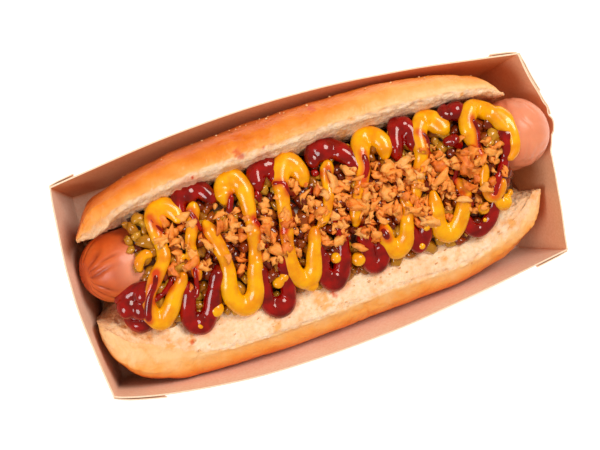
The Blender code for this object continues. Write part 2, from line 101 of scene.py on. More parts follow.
# Sausage: its axis and its girth
SAUSAGE_AXIS = [
    (-87.8, 4.8, 34.0), (-80, 5.0, 30.6), (-70, 5.4, 27.6), (-56, 6.0, 26.3), (-20, 7.5, 26.2),
    (15, 8.3, 26.4), (40, 8.8, 27.2), (56, 9.1, 29.4), (70, 9.6, 33.2), (82, 10.0, 37.6), (95.1, 10.2, 41.6),
]
SAUSAGE_RADII = (12.9, 13.7)
SAUSAGE_STEPS, SAUSAGE_SIDES, DOME_STEPS = 260, 96, 44  # rings along it, sides, and rings in each dome
SAUSAGE_SWELL = 0.22  # its slight unevenness
TIP_PLEATS, PLEAT_DEPTH = 7.5, 1.05  # half as many folds as a full turn holds, and their depth
TIP_DIMPLE = 1.1
WRINKLE_DEPTH = 0.55  # on the right end

# Bun: pairs of points across it at mid length, on the crust and on the cut face
BUN_PAIRS = [
    ((33.6, 50.9), (30.6, 50.2)), ((38.0, 49.0), (29.0, 47.2)), ((41.4, 43.6), (27.2, 42.6)),
    ((42.4, 36.0), (25.0, 36.8)), ((40.2, 27.0), (22.6, 30.6)), ((37.8, 18.0), (21.4, 24.4)),
    ((35.8, 9.6), (19.0, 18.2)), ((30.0, 3.2), (15.4, 14.4)), ((22.0, 1.0), (11.4, 12.6)),
    ((8.0, 1.0), (7.0, 12.1)), ((-6.0, 1.0), (2.6, 13.2)), ((-18.0, 1.0), (-1.8, 16.4)),
    ((-27.0, 2.2), (-4.8, 21.4)), ((-33.6, 6.0), (-8.0, 27.0)), ((-37.4, 12.4), (-12.4, 30.8)),
    ((-39.8, 19.6), (-18.0, 33.4)), ((-41.8, 28.6), (-25.0, 35.4)), ((-39.4, 33.2), (-30.4, 36.6)),
    ((-35.8, 35.4), (-33.2, 36.8)),
]
BUN_BACK_PAIRS, BUN_FRONT_PAIRS = 8, 7  # the others make its base
BUN_ENDS_BACK = (-86.0, 80.0)
BUN_ENDS_BASE = (-83.8, 83.0)
BUN_ENDS_FRONT = (-87.8, 87.6)
BUN_FULL_LENGTH_HEIGHT = 26.0  # below this it is shorter, down to the base's ends
BUN_NOSE_BACK, BUN_NOSE_FRONT = (18.0, 24.4), (-12.0, -13.5)  # the y of each half's two ends
CRUST_BACK = [
    (-86, 20), (-80, 29), (-70, 33.8), (-50, 38.6), (-20, 41.8), (5, 42.6), (50, 41), (66, 37.6), (76, 32),
    (80, 25),
]
CUT_BACK = [
    (-86, 16.6), (-80, 18), (-70, 23), (-50, 26.6), (-20, 28.6), (5, 30), (58, 29.4), (72, 27.8), (80, 25),
]
CUT_FRONT = [
    (-88.3, -12), (-80, -22), (-70, -27), (-50, -33), (-30, -34), (20, -31), (60, -28), (74, -22),
    (87.6, -12),
]
CRUST_FRONT = [
    (-88.3, -17), (-86.8, -24), (-83, -31.5), (-77, -37.2), (-68, -40.8), (-52, -42.6), (-30, -42.9),
    (20, -40.8), (60, -37), (76, -31), (84, -24), (87.6, -16),
]
BUN_WIDTHS = (0.02, 1.1)  # least and most of the width at mid length
BUN_HEIGHT_POWER, BUN_MOST_LIFT = 0.55, 1.02  # how the height follows the width towards the ends
BUN_NOSE_FOOT, BUN_NOSE_HEIGHT, BUN_CUT_NOSE_HEIGHT = 6, 0.86, 0.9  # the ends' heights: base and shares
BUN_BASE_NOSE = 0.8
BUN_TOP_EDGE = 0.35  # how far the back half's edge stands over its pair
BUN_FLOOR, BUN_GAP = 1.0, 0.15  # least height and least gap to the sausage
BUN_STEPS = [4, 9, 12, 13, 13, 12, 8, 5, 3, 3, 3, 3, 5, 8, 10, 12, 13, 10, 7, 4]  # between its pairs
BUN_STATIONS = 290

# Browning of the crust, with painted light in it: pairs from the cut edge, and how brown it is there; the
# cream near the cut edge is partly a painted highlight, the darker lower sides partly painted shade
BAKE_BACK = ([0, 0.7, 1.5, 2.3, 3, 4.5, 8], [0.08, 0.2, 0.4, 0.58, 0.78, 0.95, 0.85])
BAKE_FRONT = ([0, 0.7, 1.5, 2.3, 3, 4.5, 8], [0.02, 0.1, 0.25, 0.42, 0.58, 0.8, 0.85])
CRUST_CREASES = [  # centre, reach and turn of each patch of folds
    (-80, -24, 20, 0.5), (-80, 25, 10, -0.6), (80, -22, 12, 2.4), (9, -37, 9, 0.9), (-20, 41, 12, 1.3),
]
CREASE_SPACING, CREASE_DEPTH = 1.9, 0.4

# Relish heap over the sausage
HEAP_ENDS, HEAP_SIDES = (-77, 77), (-26, 26)
SYRUP_ENDS = (-67, 75)
HEAP_RIDGE = 8.0  # the line in y along which it is highest
HEAP_COVER = [(-77, -3), (-68, 1.5), (-50, 3.2), (0, 4.0), (45, 3.4), (68, 1.6), (77, -3)]
HEAP_FOOT = 34.6  # height of its front edge
TOP_LIMITS = (35.4, 47.6)  # least and most of the level that toppings are kept near
SYRUP_STEPS = (170, 60)
SYRUP_SUNK, SYRUP_DEPTH = 2.3, 3
SYRUP_RIM, SYRUP_RIM_DROP = 0.12, 7  # the share of its width over which its sides fall, and how far

# Lines of sauce as the camera sees them: points on the sight level, then the radius of the bead
MUSTARD = [
    ([(-68, 1.5), (-67, 5), (-64, 6.8), (-62.5, 5.2)], 2.2),
    ([(-49.5, 14.5), (-50, 18.5), (-53.5, 21.5), (-57.5, 19.5), (-58.5, 13), (-58, 8), (-58.5, 3),
      (-63.5, -3), (-67.5, -9), (-68.5, -15), (-65.5, -18.5), (-61.5, -15.5), (-58, -10.5),
      (-55.5, -8), (-53, -4)], 2.9),
    ([(-42.5, 19.5), (-45, 12), (-47.5, 6), (-48, 0), (-48.5, -8)], 2.5),
    ([(-40.5, 12), (-38.5, 4), (-37, -6), (-38.5, -15), (-37, -20.5), (-33, -22.5), (-29, -18.5),
      (-27.5, -11), (-25.5, -3), (-24.2, 6), (-23.5, 14), (-23.5, 20), (-26.5, 25), (-30.5, 21.5),
      (-31, 16)], 3.0),
    ([(-1, 14), (-2, 20.5), (-5.5, 24.5), (-9, 20), (-10.5, 12), (-12, 2), (-14, -9), (-13.5, -16),
      (-10, -20), (-6, -17), (-4, -9), (-2, -2)], 3.0),
    ([(9.5, 20), (7.5, 14), (6, 7), (3, 1), (0, -2)], 2.4),
    ([(31, 15), (31.5, 21), (27, 25.5), (23, 21.5), (21, 13), (18, 6), (15, 0), (13.5, -6)], 2.9),
    ([(24, -8), (23.5, -15), (26.5, -19.5), (31, -16), (32.5, -10), (34.5, -6), (33, -1)], 2.9),
    ([(55.8, 17.5), (53.5, 22), (49.5, 25), (45.5, 20.5), (44.5, 13), (41.5, 6), (39, 0), (38.5, -3)], 3.0),
    ([(45, -2), (44.5, -12), (45, -17), (48.5, -19.5), (52.5, -16), (55.5, -10), (57, -5), (54.5, 0)], 3.0),
    ([(78, 12), (75, 18), (71, 22.5), (66.5, 23), (63.5, 18), (64.5, 10), (66, 3)], 2.9),
    ([(73, 19.5), (77, 18), (79.6, 14), (80, 9), (78.5, 4.5), (75.5, 1.5)], 3.3),
    ([(66, 2), (64.5, -5), (66, -10.5), (69.5, -9), (71.5, -5)], 2.3),
    ([(67.5, -13), (70.5, -14), (73, -12)], 3.0),
    ([(73.5, -11.3), (75, -10.4)], 1.9),
]
MUSTARD_DROPS = [  # centre and radius of blobs beside the beads
    (-45.5, -20, 2.9), (-52.5, -24, 1.7), (-21, -17.5, 2.2), (-18.5, -16, 1.8), (-9, -22, 2.6),
    (2, -15, 2.1), (10.5, -18, 2.8), (35, -20.3, 1.5), (38, -14, 1.5), (61.5, -13.5, 2.4),
    (61, -18, 1.0), (-52, 2, 1.4),
]
KETCHUP = [
    ([(-49, 13), (-48, 21), (-43.5, 25.2), (-38.5, 23.5), (-35, 18)], 2.8),
    ([(-79, -7), (-74, -6), (-70, -5), (-66, -4)], 3.4),
    ([(-77, -11), (-74, -17), (-71, -17.5), (-69.5, -12)], 2.8),
    ([(-52, -8), (-55, -17), (-55, -23), (-51, -25), (-47, -20), (-43.5, -12), (-40, -5)], 2.7),
    ([(-18, 17), (-17.5, 23), (-14.5, 26), (-11, 23.5), (-10, 17)], 2.9),
    ([(-25.5, -9), (-26, -17), (-25.5, -25), (-22, -28), (-18, -25), (-16.5, -15), (-16.5, -7)], 2.6),
    ([(4, 20), (6, 25), (10.5, 26), (15, 22.5), (18.5, 18), (19.5, 12)], 2.9),
    ([(-2.5, -9), (-3, -18), (-1.5, -23.5), (2, -24.5), (5, -19), (7, -10), (7, -2)], 2.7),
    ([(15.5, -7), (15.5, -15), (15.5, -21), (18.5, -22.8), (21, -19), (22, -12)], 2.8),
    ([(35.5, 13), (36.5, 21), (39.5, 25.8), (43, 22), (42, 15)], 2.7),
    ([(33.5, -10), (34, -17), (35.5, -20.7), (38.5, -17), (40, -11), (42.5, -8)], 2.3),
    ([(55, 21), (58, 25), (62.5, 24), (65, 19)], 2.7),
    ([(54, 14.5), (57.5, 14), (59.5, 11)], 2.8),
    ([(55, -14), (56, -19), (60, -21.5), (64.5, -19), (67, -14), (70, -8), (72.5, -2),
      (75.5, 5), (76.5, 11)], 2.4),
    ([(77, 11.5), (76, 8)], 3.1),
]
KETCHUP_DROPS = [  # wide blobs in the loops
    (8.5, 24.3, 4.4), (39.8, 24.6, 3.8), (60, 24.4, 3.8), (-43.5, 23.2, 4.0), (-14.5, 24.6, 3.4),
    (-75.5, -10, 4.4), (-71, -12, 4.2), (-69, -7, 3.6), (-51, -22.5, 3.4), (-21.5, -25.5, 3.4),
    (0.5, -22, 3.4), (76, 10.5, 3.6),
]
KETCHUP_DRIPS = [  # thin runs that lie over the mustard and the relish
    ([(-59, 19), (-58, 16), (-56, 12.5)], 1.0),
    ([(-62.5, -1), (-64.5, -5), (-67.5, -9), (-69.5, -14), (-69.8, -17)], 1.3),
    ([(-57, -4), (-60.5, -8), (-66, -10.5)], 1.3),
    ([(-44.5, 17), (-43.5, 13), (-42.5, 9)], 1.1),
    ([(-48.5, -3), (-50, -11), (-51.5, -14)], 1.1),
    ([(-28.5, 18.5), (-30.5, 13), (-32, 10)], 1.2),
    ([(-19, 17), (-19, 13)], 1.6),
    ([(-20, 3), (-22, 0), (-21, -4)], 1.0),
    ([(-23, 8), (-21.5, 4)], 0.9),
    ([(-12.5, 18), (-9, 17), (-8, 13.5), (-5, 11.5)], 1.1),
    ([(-11, 3), (-13.5, 0)], 0.8),
    ([(1, 13), (0, 9), (-1.5, 3)], 1.0),
    ([(3, 18), (5, 16.5)], 1.5),
    ([(8.5, 17.5), (8.5, 13)], 1.0),
    ([(6, -1), (6.5, -7)], 1.2),
    ([(-1, -12), (0, -16)], 1.0),
    ([(22.5, 19), (22.5, 14), (20, 10)], 1.3),
    ([(22.5, -10), (23.5, -14)], 1.3),
    ([(36, 19), (34.5, 14)], 1.3),
    ([(45, 21), (47.5, 18), (47, 13), (49, 10)], 0.9),
    ([(31, 8), (33, 6)], 0.8),
    ([(57, 8), (56, 3), (53, -1)], 1.1),
    ([(53.5, -6.5), (55, -6)], 1.3),
    ([(65.5, 20), (66.5, 15), (65.5, 8), (67, 4)], 0.9),
    ([(63, 9), (62, 5)], 1.1),
    ([(71, -2), (68, -7), (67, -10)], 1.8),
    ([(59, -12), (58, -9)], 0.8),
]
STRAND_STEP, STRAND_SIDES = 0.8, 14
BEAD_FLATNESS, BEAD_NOSE = 0.88, 0.6  # height and end length in shares of the radius
SAUCE_VOXEL, DRIP_VOXEL = 0.42, 0.3  # how finely beads are fused
SAUCE_LEVEL, DROP_LEVEL, ONION_LEVEL = 45.0, 41, 47  # heights at which each is placed on the camera's lines
DROP_ROOM = 4  # how far a blob's top may stand over the level that toppings are kept near

# Kinds of bits: how many, sizes, how they lie, and length, width and thickness in shares of a bit's size
RELISH = {
    "count": 460, "sizes": (3.8, 6.6), "spacing": 0.56, "lift": 0.05, "room": 0.8, "roughness": 0.45,
    "shape": ((0.85, 1.15), (0.65, 0.95), (0.5, 0.75)),
}
ONION = {
    "count": 300, "sizes": (1.7, 4.4), "spacing": 0.42, "lift": 0.12, "room": 3.2, "roughness": 1.15,
    "shape": ((0.8, 1.6), (0.55, 0.95), (0.45, 0.75)),
}
TRIES_PER_BIT = 40
USUAL_BITS, LARGER = 0.8, 1.25  # share of bits of the usual sizes, and how much larger the others are
RELISH_FRONT = [(-77, -14), (-68, -19), (-50, -22), (60, -21), (77, -12)]
RELISH_BACK = [(-77, 12), (-68, 20), (-40, 23), (60, 24), (77, 18)]
ONION_ENDS, ONION_SIDES = (-58, 76), (-15, 16.5)
ONION_KEPT_OFF = 0.8  # share of the pieces kept off the mustard
ONION_CROWD = [
    (-58, 0.45), (-40, 0.35), (-20, 0.4), (0, 0.55), (15, 0.95), (55, 1.0), (66, 0.5), (76, 0.1),
]
CRUMBS, CRUMB_SIZES = 70, (0.35, 0.9)
SEED = 5

# Spots on the bread where sauce has touched it, as the camera sees them: x, y, radius
RED_SPOTS = [
    (-23, 31.5, 2.4), (-14, 31.3, 1.0), (-57, -29, 1.6), (-41, 28, 1.0), (-2, -28, 1.6), (8, 40, 1.6),
]
YELLOW_SPOTS = [
    (-57, -28, 2.2), (-26, -33, 2.0), (-7, -29, 4.0), (-7, 32.8, 2.4), (17, 28, 2.6), (-65, -28, 2.0),
    (72, -23, 2.4), (43, -28, 1.2), (20, 32, 1.6), (48, -22, 1.8), (63, 29.5, 1.2),
]
STAINED_ABOVE, STAIN_REACH = 20, 1.6  # lowest height of stains, and how far sauce spreads into the bread
CRUMB_PORES = [(1.9, 0.4, 4, 0.5), (3.4, 0.22, 5, 0.9)]  # size, share that is open, seed, depth
CRUMB_LEVEL = 35.5  # height of the front half's crumb
CRUMB_HOLES = [  # deep torn pores: x, y, radius, depth
    (-46, -33, 1.6, 0.9), (-42, -34, 1.5, 0.9), (-36, -33.6, 1.0, 0.7), (-21, -32, 0.8, 1.0),
    (-14, -28, 0.8, 0.9), (49, -22, 1.4, 0.9), (65, -25, 1.5, 1.0), (52, -26, 0.9, 0.7),
    (34, -25, 1.0, 0.7), (36, -23, 1.0, 0.7),
]


def between(values, slopes, i, span, t):
    """The smooth curve from value i to the next one, t from 0 to 1 of the span between them."""
    lead = values[i] * (1 + 2 * t) * (1 - t) ** 2 + slopes[i] * span * t * (1 - t) ** 2
    trail = values[i + 1] * t * t * (3 - 2 * t) - slopes[i + 1] * span * t * t * (1 - t)
    return lead + trail


def smooth_values(table, x):
    """Values at x of a smooth curve through the (x, value) points of a table."""
    xs, values = np.array(table, float).T
    x = np.clip(x, xs[0], xs[-1])
    i = np.clip(np.searchsorted(xs, x, side="right") - 1, 0, len(xs) - 2)
    span = xs[i + 1] - xs[i]
    return between(values, np.gradient(values, xs), i, span, (x - xs[i]) / span)


def smooth_path(points, step):
    """Evenly spaced points of a curve that passes through the given ones."""
    knots = [Vector(p) for p in points]
    knots = [2 * knots[0] - knots[1], *knots, 2 * knots[-1] - knots[-2]]
    path = []
    for a, b, c, d in zip(knots, knots[1:], knots[2:], knots[3:]):
        count = max(1, round((c - b).length / step))
        for i in range(count):
            t = i / count
            path.append(0.5 * (2 * b + (c - a) * t + (2 * a - 5 * b + 4 * c - d) * t**2
                               + (3 * b - 3 * c + d - a) * t**3))
    return [*path, knots[-2]]


def smooth_step(low, high, x):
    """0 at low and before it, 1 at high and past it, and smooth between."""
    t = np.clip((np.asarray(x, float) - low) / (high - low), 0, 1)
    return t * t * (3 - 2 * t)


def noise_at(points, size, octaves, seed):
    """Noise from about -1 to 1 at points in millimetres, with features of that size."""
    shift = Vector((seed * 17.3, seed * 5.1, seed * 2.7))
    return np.array([noise.fractal(Vector(p) / size + shift, 0.7, 2.0, octaves) for p in points])


def pores_at(points, size, share, seed):
    """0 to 1 at points in millimetres: rounded pores about a size apart, open in a share of the cells."""
    shift = Vector((seed * 3.1, seed * 9.7, seed * 1.3))
    depths = []
    for p in points:
        distances, centres = noise.voronoi(Vector(p) / size + shift)
        is_open = (math.sin(centres[0].dot(Vector((12.9, 78.2, 37.7)))) * 437.5) % 1 < share
        depths.append(max(0.0, 1 - distances[0] / 0.55) if is_open else 0.0)
    return np.array(depths)


def linear(hex_colour):
    """The linear colour, with alpha, of an sRGB hex value."""
    parts = [int(hex_colour[i:i + 2], 16) / 255 for i in (1, 3, 5)]
    return (*[p / 12.92 if p <= 0.04045 else ((p + 0.055) / 1.055) ** 2.4 for p in parts], 1.0)


def set_inputs(tree, made, inputs):
    """Sets a node's inputs from values, hex colours, sockets, or nodes that stand for their first output."""
    for name, value in inputs.items():
        if isinstance(value, bpy.types.Node):
            value = value.outputs[0]
        if isinstance(value, bpy.types.NodeSocket):
            tree.links.new(value, made.inputs[name])
        else:
            made.inputs[name].default_value = linear(value) if isinstance(value, str) else value


def add_node(tree, kind, inputs=None, stops=(), **settings):
    """A shader node with its settings, its inputs and a ramp's stops."""
    made = tree.nodes.new("ShaderNode" + kind)
    for name, value in settings.items():
        setattr(made, name, value)
    set_inputs(tree, made, inputs or {})
    for i, (place, colour) in enumerate(stops):
        stop = made.color_ramp.elements[i] if i < 2 else made.color_ramp.elements.new(place)
        stop.position = place
        stop.color = linear(colour)
    return made


def new_material(name):
    """A material, its node tree and its shader."""
    made = bpy.data.materials.new(name)
    made.use_nodes = True
    return made, made.node_tree, made.node_tree.nodes["Principled BSDF"]


def per_size(size_mm):
    """The scale that gives a pattern on Object coordinates features of a size in millimetres."""
    return 1 / (size_mm * MM)


def card_material():
    """Unprinted board with a pale coating: matt, mottled by its fibres, with warm painted shade where it
    faces the crust.
    """
    made, tree, shader = new_material("kraft_card")
    place = add_node(tree, "TexCoord").outputs["Object"]
    cloud = add_node(tree, "TexNoise", {"Vector": place, "Scale": per_size(16), "Detail": 3.0})
    fibre = add_node(tree, "TexNoise", {"Vector": place, "Scale": per_size(0.9), "Detail": 4.0})
    tone = add_node(tree, "ValToRGB", {"Fac": cloud}, [(0.3, "#FBDAC4"), (0.7, "#FEE4D2")])
    speck = add_node(tree, "ValToRGB", {"Fac": fibre}, [(0.35, "#F8EFE8"), (0.62, "#FFFFFF")])
    colour = add_node(tree, "Mix", {0: 1.0, 6: tone, 7: speck}, data_type="RGBA", blend_type="MULTIPLY")
    # painted shade: the inner faces beside the crust are tinted warm, for light bounced off it
    warm = add_node(tree, "Attribute", attribute_name="warm").outputs["Fac"]
    warmed = add_node(
        tree, "Mix", {0: warm, 6: colour.outputs[2], 7: "#FFCC8C"},
        data_type="RGBA", blend_type="MULTIPLY",
    )
    bump = add_node(tree, "Bump", {"Height": fibre, "Strength": 0.2, "Distance": 0.1 * MM})
    set_inputs(tree, shader, {"Base Color": warmed.outputs[2], "Roughness": 0.7, "Normal": bump})
    return made


def cut_card_material():
    """The board's bare cut edge: paler than its faces, and fibrous."""
    made, tree, shader = new_material("cut_card_edge")
    place = add_node(tree, "TexCoord").outputs["Object"]
    fibre = add_node(tree, "TexNoise", {"Vector": place, "Scale": per_size(0.6), "Detail": 3.0})
    tone = add_node(tree, "ValToRGB", {"Fac": fibre}, [(0.3, "#F6DCBC"), (0.7, "#FEEED8")])
    set_inputs(tree, shader, {"Base Color": tone, "Roughness": 0.85})
    return made


def bread_material():
    """Soft milk bread: a glazed crust browned from cream to amber, with painted highlight and shade mixed
    into its browning, and a pale open crumb.
    """
    made, tree, shader = new_material("milk_bread")
    place = add_node(tree, "TexCoord").outputs["Object"]
    # the browning mark holds the crust's own browning together with painted highlight and shade, and painted
    # shade in the crumb's pores
    crumb, bake, red, yellow = (
        add_node(tree, "Attribute", attribute_name=name).outputs["Fac"]
        for name in ("crumb", "bake", "red", "yellow")
    )
    mottle = add_node(tree, "TexNoise", {"Vector": place, "Scale": per_size(7), "Detail": 5.0})
    uneven = add_node(tree, "Math", {0: mottle, 1: 0.56, 2: -0.28}, operation="MULTIPLY_ADD")
    browning = add_node(tree, "Math", {0: bake, 1: uneven}, operation="ADD", use_clamp=True)
    crust = add_node(
        tree, "ValToRGB", {"Fac": browning},
        [(0.0, "#F6CA8E"), (0.25, "#F4AE58"), (0.5, "#EE8A20"), (0.75, "#DE6A0C"), (1.0, "#C05A12")],
    )
    pores = add_node(tree, "TexNoise", {"Vector": place, "Scale": per_size(1.3), "Detail": 5.0})
    pale = add_node(
        tree, "ValToRGB", {"Fac": pores}, [(0.28, "#F0C898"), (0.42, "#FCDDB6"), (0.68, "#FEE8CC")]
    )
    # the crumb is darkened towards the toasted colour by the same mark, which includes painted shade in its
    # pores
    toasted = add_node(tree, "Mix", {0: bake, 6: pale, 7: "#F0AC66"}, data_type="RGBA")
    colour = add_node(tree, "Mix", {0: crumb, 6: crust, 7: toasted.outputs[2]}, data_type="RGBA")
    for stain, tint in ((yellow, "#F2A63C"), (red, "#D8481A")):
        colour = add_node(tree, "Mix", {0: stain, 6: colour.outputs[2], 7: tint}, data_type="RGBA")
    wrinkle = add_node(
        tree, "TexNoise", {"Vector": place, "Scale": per_size(4), "Detail": 5.0, "Distortion": 1.4}
    )
    fine = add_node(tree, "TexNoise", {"Vector": place, "Scale": per_size(0.7), "Detail": 3.0})
    matt, skin, depth = (
        add_node(tree, "MapRange", {"Value": crumb, "To Min": on_crust, "To Max": on_crumb})
        for on_crust, on_crumb in ((0.42, 0.92), (0.5, 0.0), (0.12, 0.9))
    )
    folds = add_node(tree, "Bump", {"Height": wrinkle, "Strength": skin, "Distance": 1.2 * MM})
    bump = add_node(
        tree, "Bump", {"Height": fine, "Strength": depth, "Distance": 0.4 * MM, "Normal": folds}
    )
    set_inputs(tree, shader, {
        "Base Color": colour.outputs[2], "Roughness": matt, "Normal": bump, "IOR": 1.45,
        "Coat Roughness": 0.4,
        "Subsurface Weight": 0.12, "Subsurface Scale": 1.5 * MM, "Subsurface Radius": (1.0, 0.6, 0.35),
    })
    return made


def sausage_material():
    """Smoked sausage in a thin skin: tan, mottled, with a moist shine over fine wrinkles, a painted pale
    pink highlight, and painted shade in the pleats at its tip.
    """
    made, tree, shader = new_material("smoked_sausage")
    place = add_node(tree, "TexCoord").outputs["Object"]
    rosy, pleat = (
        add_node(tree, "Attribute", attribute_name=name).outputs["Fac"] for name in ("rosy", "pleat")
    )
    cloud = add_node(tree, "TexNoise", {"Vector": place, "Scale": per_size(9), "Detail": 4.0})
    tone = add_node(
        tree, "ValToRGB", {"Fac": cloud}, [(0.3, "#BC4A12"), (0.5, "#D25C1A"), (0.72, "#E27230")]
    )
    # painted highlight: a pale pink patch on the left end's top and over the right end
    skin = add_node(tree, "Mix", {0: rosy, 6: tone, 7: "#F8AE8C"}, data_type="RGBA")
    # painted shade: darker in the pleats at the tip
    colour = add_node(tree, "Mix", {0: pleat, 6: skin.outputs[2], 7: "#8C2E0A"}, data_type="RGBA")
    crease = add_node(
        tree, "TexNoise", {"Vector": place, "Scale": per_size(1.6), "Detail": 4.0, "Distortion": 0.6}
    )
    bump = add_node(tree, "Bump", {"Height": crease, "Strength": 0.22, "Distance": 0.25 * MM})
    set_inputs(tree, shader, {
        "Base Color": colour.outputs[2], "Roughness": 0.42, "Normal": bump, "IOR": 1.42,
        "Coat Weight": 0.16, "Coat Roughness": 0.2,
        "Subsurface Weight": 0.15, "Subsurface Scale": 2 * MM, "Subsurface Radius": (1.0, 0.4, 0.25),
    })
    return made


def sauce_material(name, tones, roughness, soft, radius):
    """A wet sauce, cloudy between two tones, glossy, and stained where another sauce has run over it."""
    made, tree, shader = new_material(name)
    place = add_node(tree, "TexCoord").outputs["Object"]
    cloud = add_node(tree, "TexNoise", {"Vector": place, "Scale": per_size(5), "Detail": 3.0})
    tone = add_node(tree, "ValToRGB", {"Fac": cloud}, zip((0.35, 0.62), tones))
    stain = add_node(tree, "Attribute", attribute_name="stain").outputs["Fac"]
    colour = add_node(tree, "Mix", {0: stain, 6: tone, 7: "#D4420C"}, data_type="RGBA")
    grain = add_node(tree, "TexNoise", {"Vector": place, "Scale": per_size(1.2), "Detail": 2.0})
    bump = add_node(tree, "Bump", {"Height": grain, "Strength": 0.08, "Distance": 0.2 * MM})
    set_inputs(tree, shader, {
        "Base Color": colour.outputs[2], "Roughness": roughness, "Normal": bump, "IOR": 1.45,
        "Coat Weight": 0.4, "Coat Roughness": 0.04,
        "Subsurface Weight": soft, "Subsurface Scale": 1.6 * MM, "Subsurface Radius": radius,
    })
    return made


def relish_material():
    """Pickle relish in its syrup: olive to amber chunks, wet and half clear, each of its own tone."""
    made, tree, shader = new_material("pickle_relish")
    tone = add_node(tree, "Attribute", attribute_name="tone").outputs["Fac"]
    colour = add_node(
        tree, "ValToRGB", {"Fac": tone},
        [(0.0, "#5A1202"), (0.3, "#8E3406"), (0.5, "#A4640C"), (0.75, "#C08A1C"), (1.0, "#D4A036")],
    )
    set_inputs(tree, shader, {
        "Base Color": colour, "Roughness": 0.16, "IOR": 1.4, "Coat Weight": 0.6, "Coat Roughness": 0.05,
        "Subsurface Weight": 0.35, "Subsurface Scale": 2 * MM, "Subsurface Radius": (1.0, 0.7, 0.2),
    })
    return made


def syrup_material():
    """Dark juice and sauce between the chunks, made near black as painted shade in the gaps."""
    made, tree, shader = new_material("relish_syrup_and_shade")
    place = add_node(tree, "TexCoord").outputs["Object"]
    cloud = add_node(tree, "TexNoise", {"Vector": place, "Scale": per_size(6), "Detail": 4.0})
    tone = add_node(
        tree, "ValToRGB", {"Fac": cloud}, [(0.35, "#260502"), (0.5, "#440C03"), (0.65, "#563008")]
    )
    set_inputs(tree, shader, {
        "Base Color": tone, "Roughness": 0.35, "IOR": 1.4, "Coat Weight": 0.15, "Coat Roughness": 0.15,
    })
    return made


def onion_material():
    """Crisp fried onion: dry golden crumbs of batter, flecked from golden to brown."""
    made, tree, shader = new_material("fried_onion")
    place = add_node(tree, "TexCoord").outputs["Object"]
    tone = add_node(tree, "Attribute", attribute_name="tone").outputs["Fac"]
    fleck = add_node(tree, "TexNoise", {"Vector": place, "Scale": per_size(1.5), "Detail": 3.0})
    mixed = add_node(tree, "Math", {0: fleck, 1: 0.5, 2: tone}, operation="MULTIPLY_ADD")
    colour = add_node(
        tree, "ValToRGB", {"Fac": mixed},
        [(0.25, "#CC5E14"), (0.45, "#F28A2C"), (0.7, "#FBAA4C"), (1.0, "#FECA86")],
    )
    bump = add_node(tree, "Bump", {"Height": fleck, "Strength": 0.5, "Distance": 0.3 * MM})
    set_inputs(tree, shader, {
        "Base Color": colour, "Roughness": 0.5, "Normal": bump, "IOR": 1.45,
        "Subsurface Weight": 0.15, "Subsurface Scale": 1.0 * MM, "Subsurface Radius": (1.0, 0.5, 0.2),
    })
    return made


def crumb_material():
    """Loose crumbs of toasted crust."""
    made, tree, shader = new_material("toasted_crumb")
    place = add_node(tree, "TexCoord").outputs["Object"]
    cloud = add_node(tree, "TexNoise", {"Vector": place, "Scale": per_size(2), "Detail": 2.0})
    tone = add_node(tree, "ValToRGB", {"Fac": cloud}, [(0.3, "#D98A48"), (0.7, "#F6CE98")])
    set_inputs(tree, shader, {"Base Color": tone, "Roughness": 0.8})
    return made


def floor_material():
    """A white table sheet: matt, and lit evenly enough to stay white."""
    made, tree, shader = new_material("white_sheet")
    set_inputs(tree, shader, {
        "Base Color": "#FAFAFA", "Roughness": 0.9, "Emission Color": "#FFFFFF", "Emission Strength": 0.5,
    })
    return made


def new_piece(name, bm, materials, slot=None):
    """The bmesh as a smooth object that rides with the hot dog."""
    mesh = bpy.data.meshes.new(name)
    bm.to_mesh(mesh)
    bm.free()
    mesh.shade_smooth()
    piece = bpy.data.objects.new(name, mesh)
    bpy.context.scene.collection.objects.link(piece)
    for made in materials:
        mesh.materials.append(made)
    if slot:
        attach(piece, "root")
    return piece


def grid_bmesh(points, marks=None):
    """A grid whose vertices take the places of rows of points, in millimetres, with a mark on each."""
    rows, columns = points.shape[:2]
    bm = bmesh.new()
    bmesh.ops.create_grid(bm, x_segments=columns - 1, y_segments=rows - 1, size=1.0)
    layers = {name: bm.verts.layers.float.new(name) for name in marks or {}}
    for vertex in bm.verts:
        row = round((vertex.co.y + 1) / 2 * (rows - 1))
        column = round((vertex.co.x + 1) / 2 * (columns - 1))
        vertex.co = Vector(points[row, column]) * MM
        for name, layer in layers.items():
            vertex[layer] = marks[name][row, column]
    bmesh.ops.remove_doubles(bm, verts=bm.verts, dist=0.0001 * MM)
    bmesh.ops.recalc_face_normals(bm, faces=bm.faces)
    return bm


def bake_modifiers(piece):
    """The piece's mesh as its modifiers leave it."""
    graph = bpy.context.evaluated_depsgraph_get()
    mesh = bpy.data.meshes.new_from_object(piece.evaluated_get(graph))
    piece.modifiers.clear()
    piece.data = mesh


def vertex_places(mesh):
    """Places, in millimetres, and normals of a mesh's vertices."""
    places, normals = np.empty(len(mesh.vertices) * 3), np.empty(len(mesh.vertices) * 3)
    mesh.vertices.foreach_get("co", places)
    mesh.vertices.foreach_get("normal", normals)
    return places.reshape(-1, 3) / MM, normals.reshape(-1, 3)


def set_mark(mesh, name, values):
    """Stores one number on each vertex, for the material to read."""
    mark = mesh.attributes.get(name) or mesh.attributes.new(name, "FLOAT", "POINT")
    mark.data.foreach_set("value", np.asarray(values, float))


def get_mark(mesh, name):
    """The numbers stored on a mesh's vertices under a name."""
    values = np.empty(len(mesh.vertices))
    mesh.attributes[name].data.foreach_get("value", values)
    return values


def wall_ends(corners, wall):
    """The two corners between which a wall runs."""
    start = list(WALLS).index(wall)
    return Vector(corners[start]), Vector(corners[(start + 1) % len(WALLS)])


def wall_outward(wall):
    """The level direction out of a wall."""
    start, end = wall_ends(RIM_CORNERS, wall)
    run = end - start
    return Vector((run.y, -run.x, 0)).normalized()


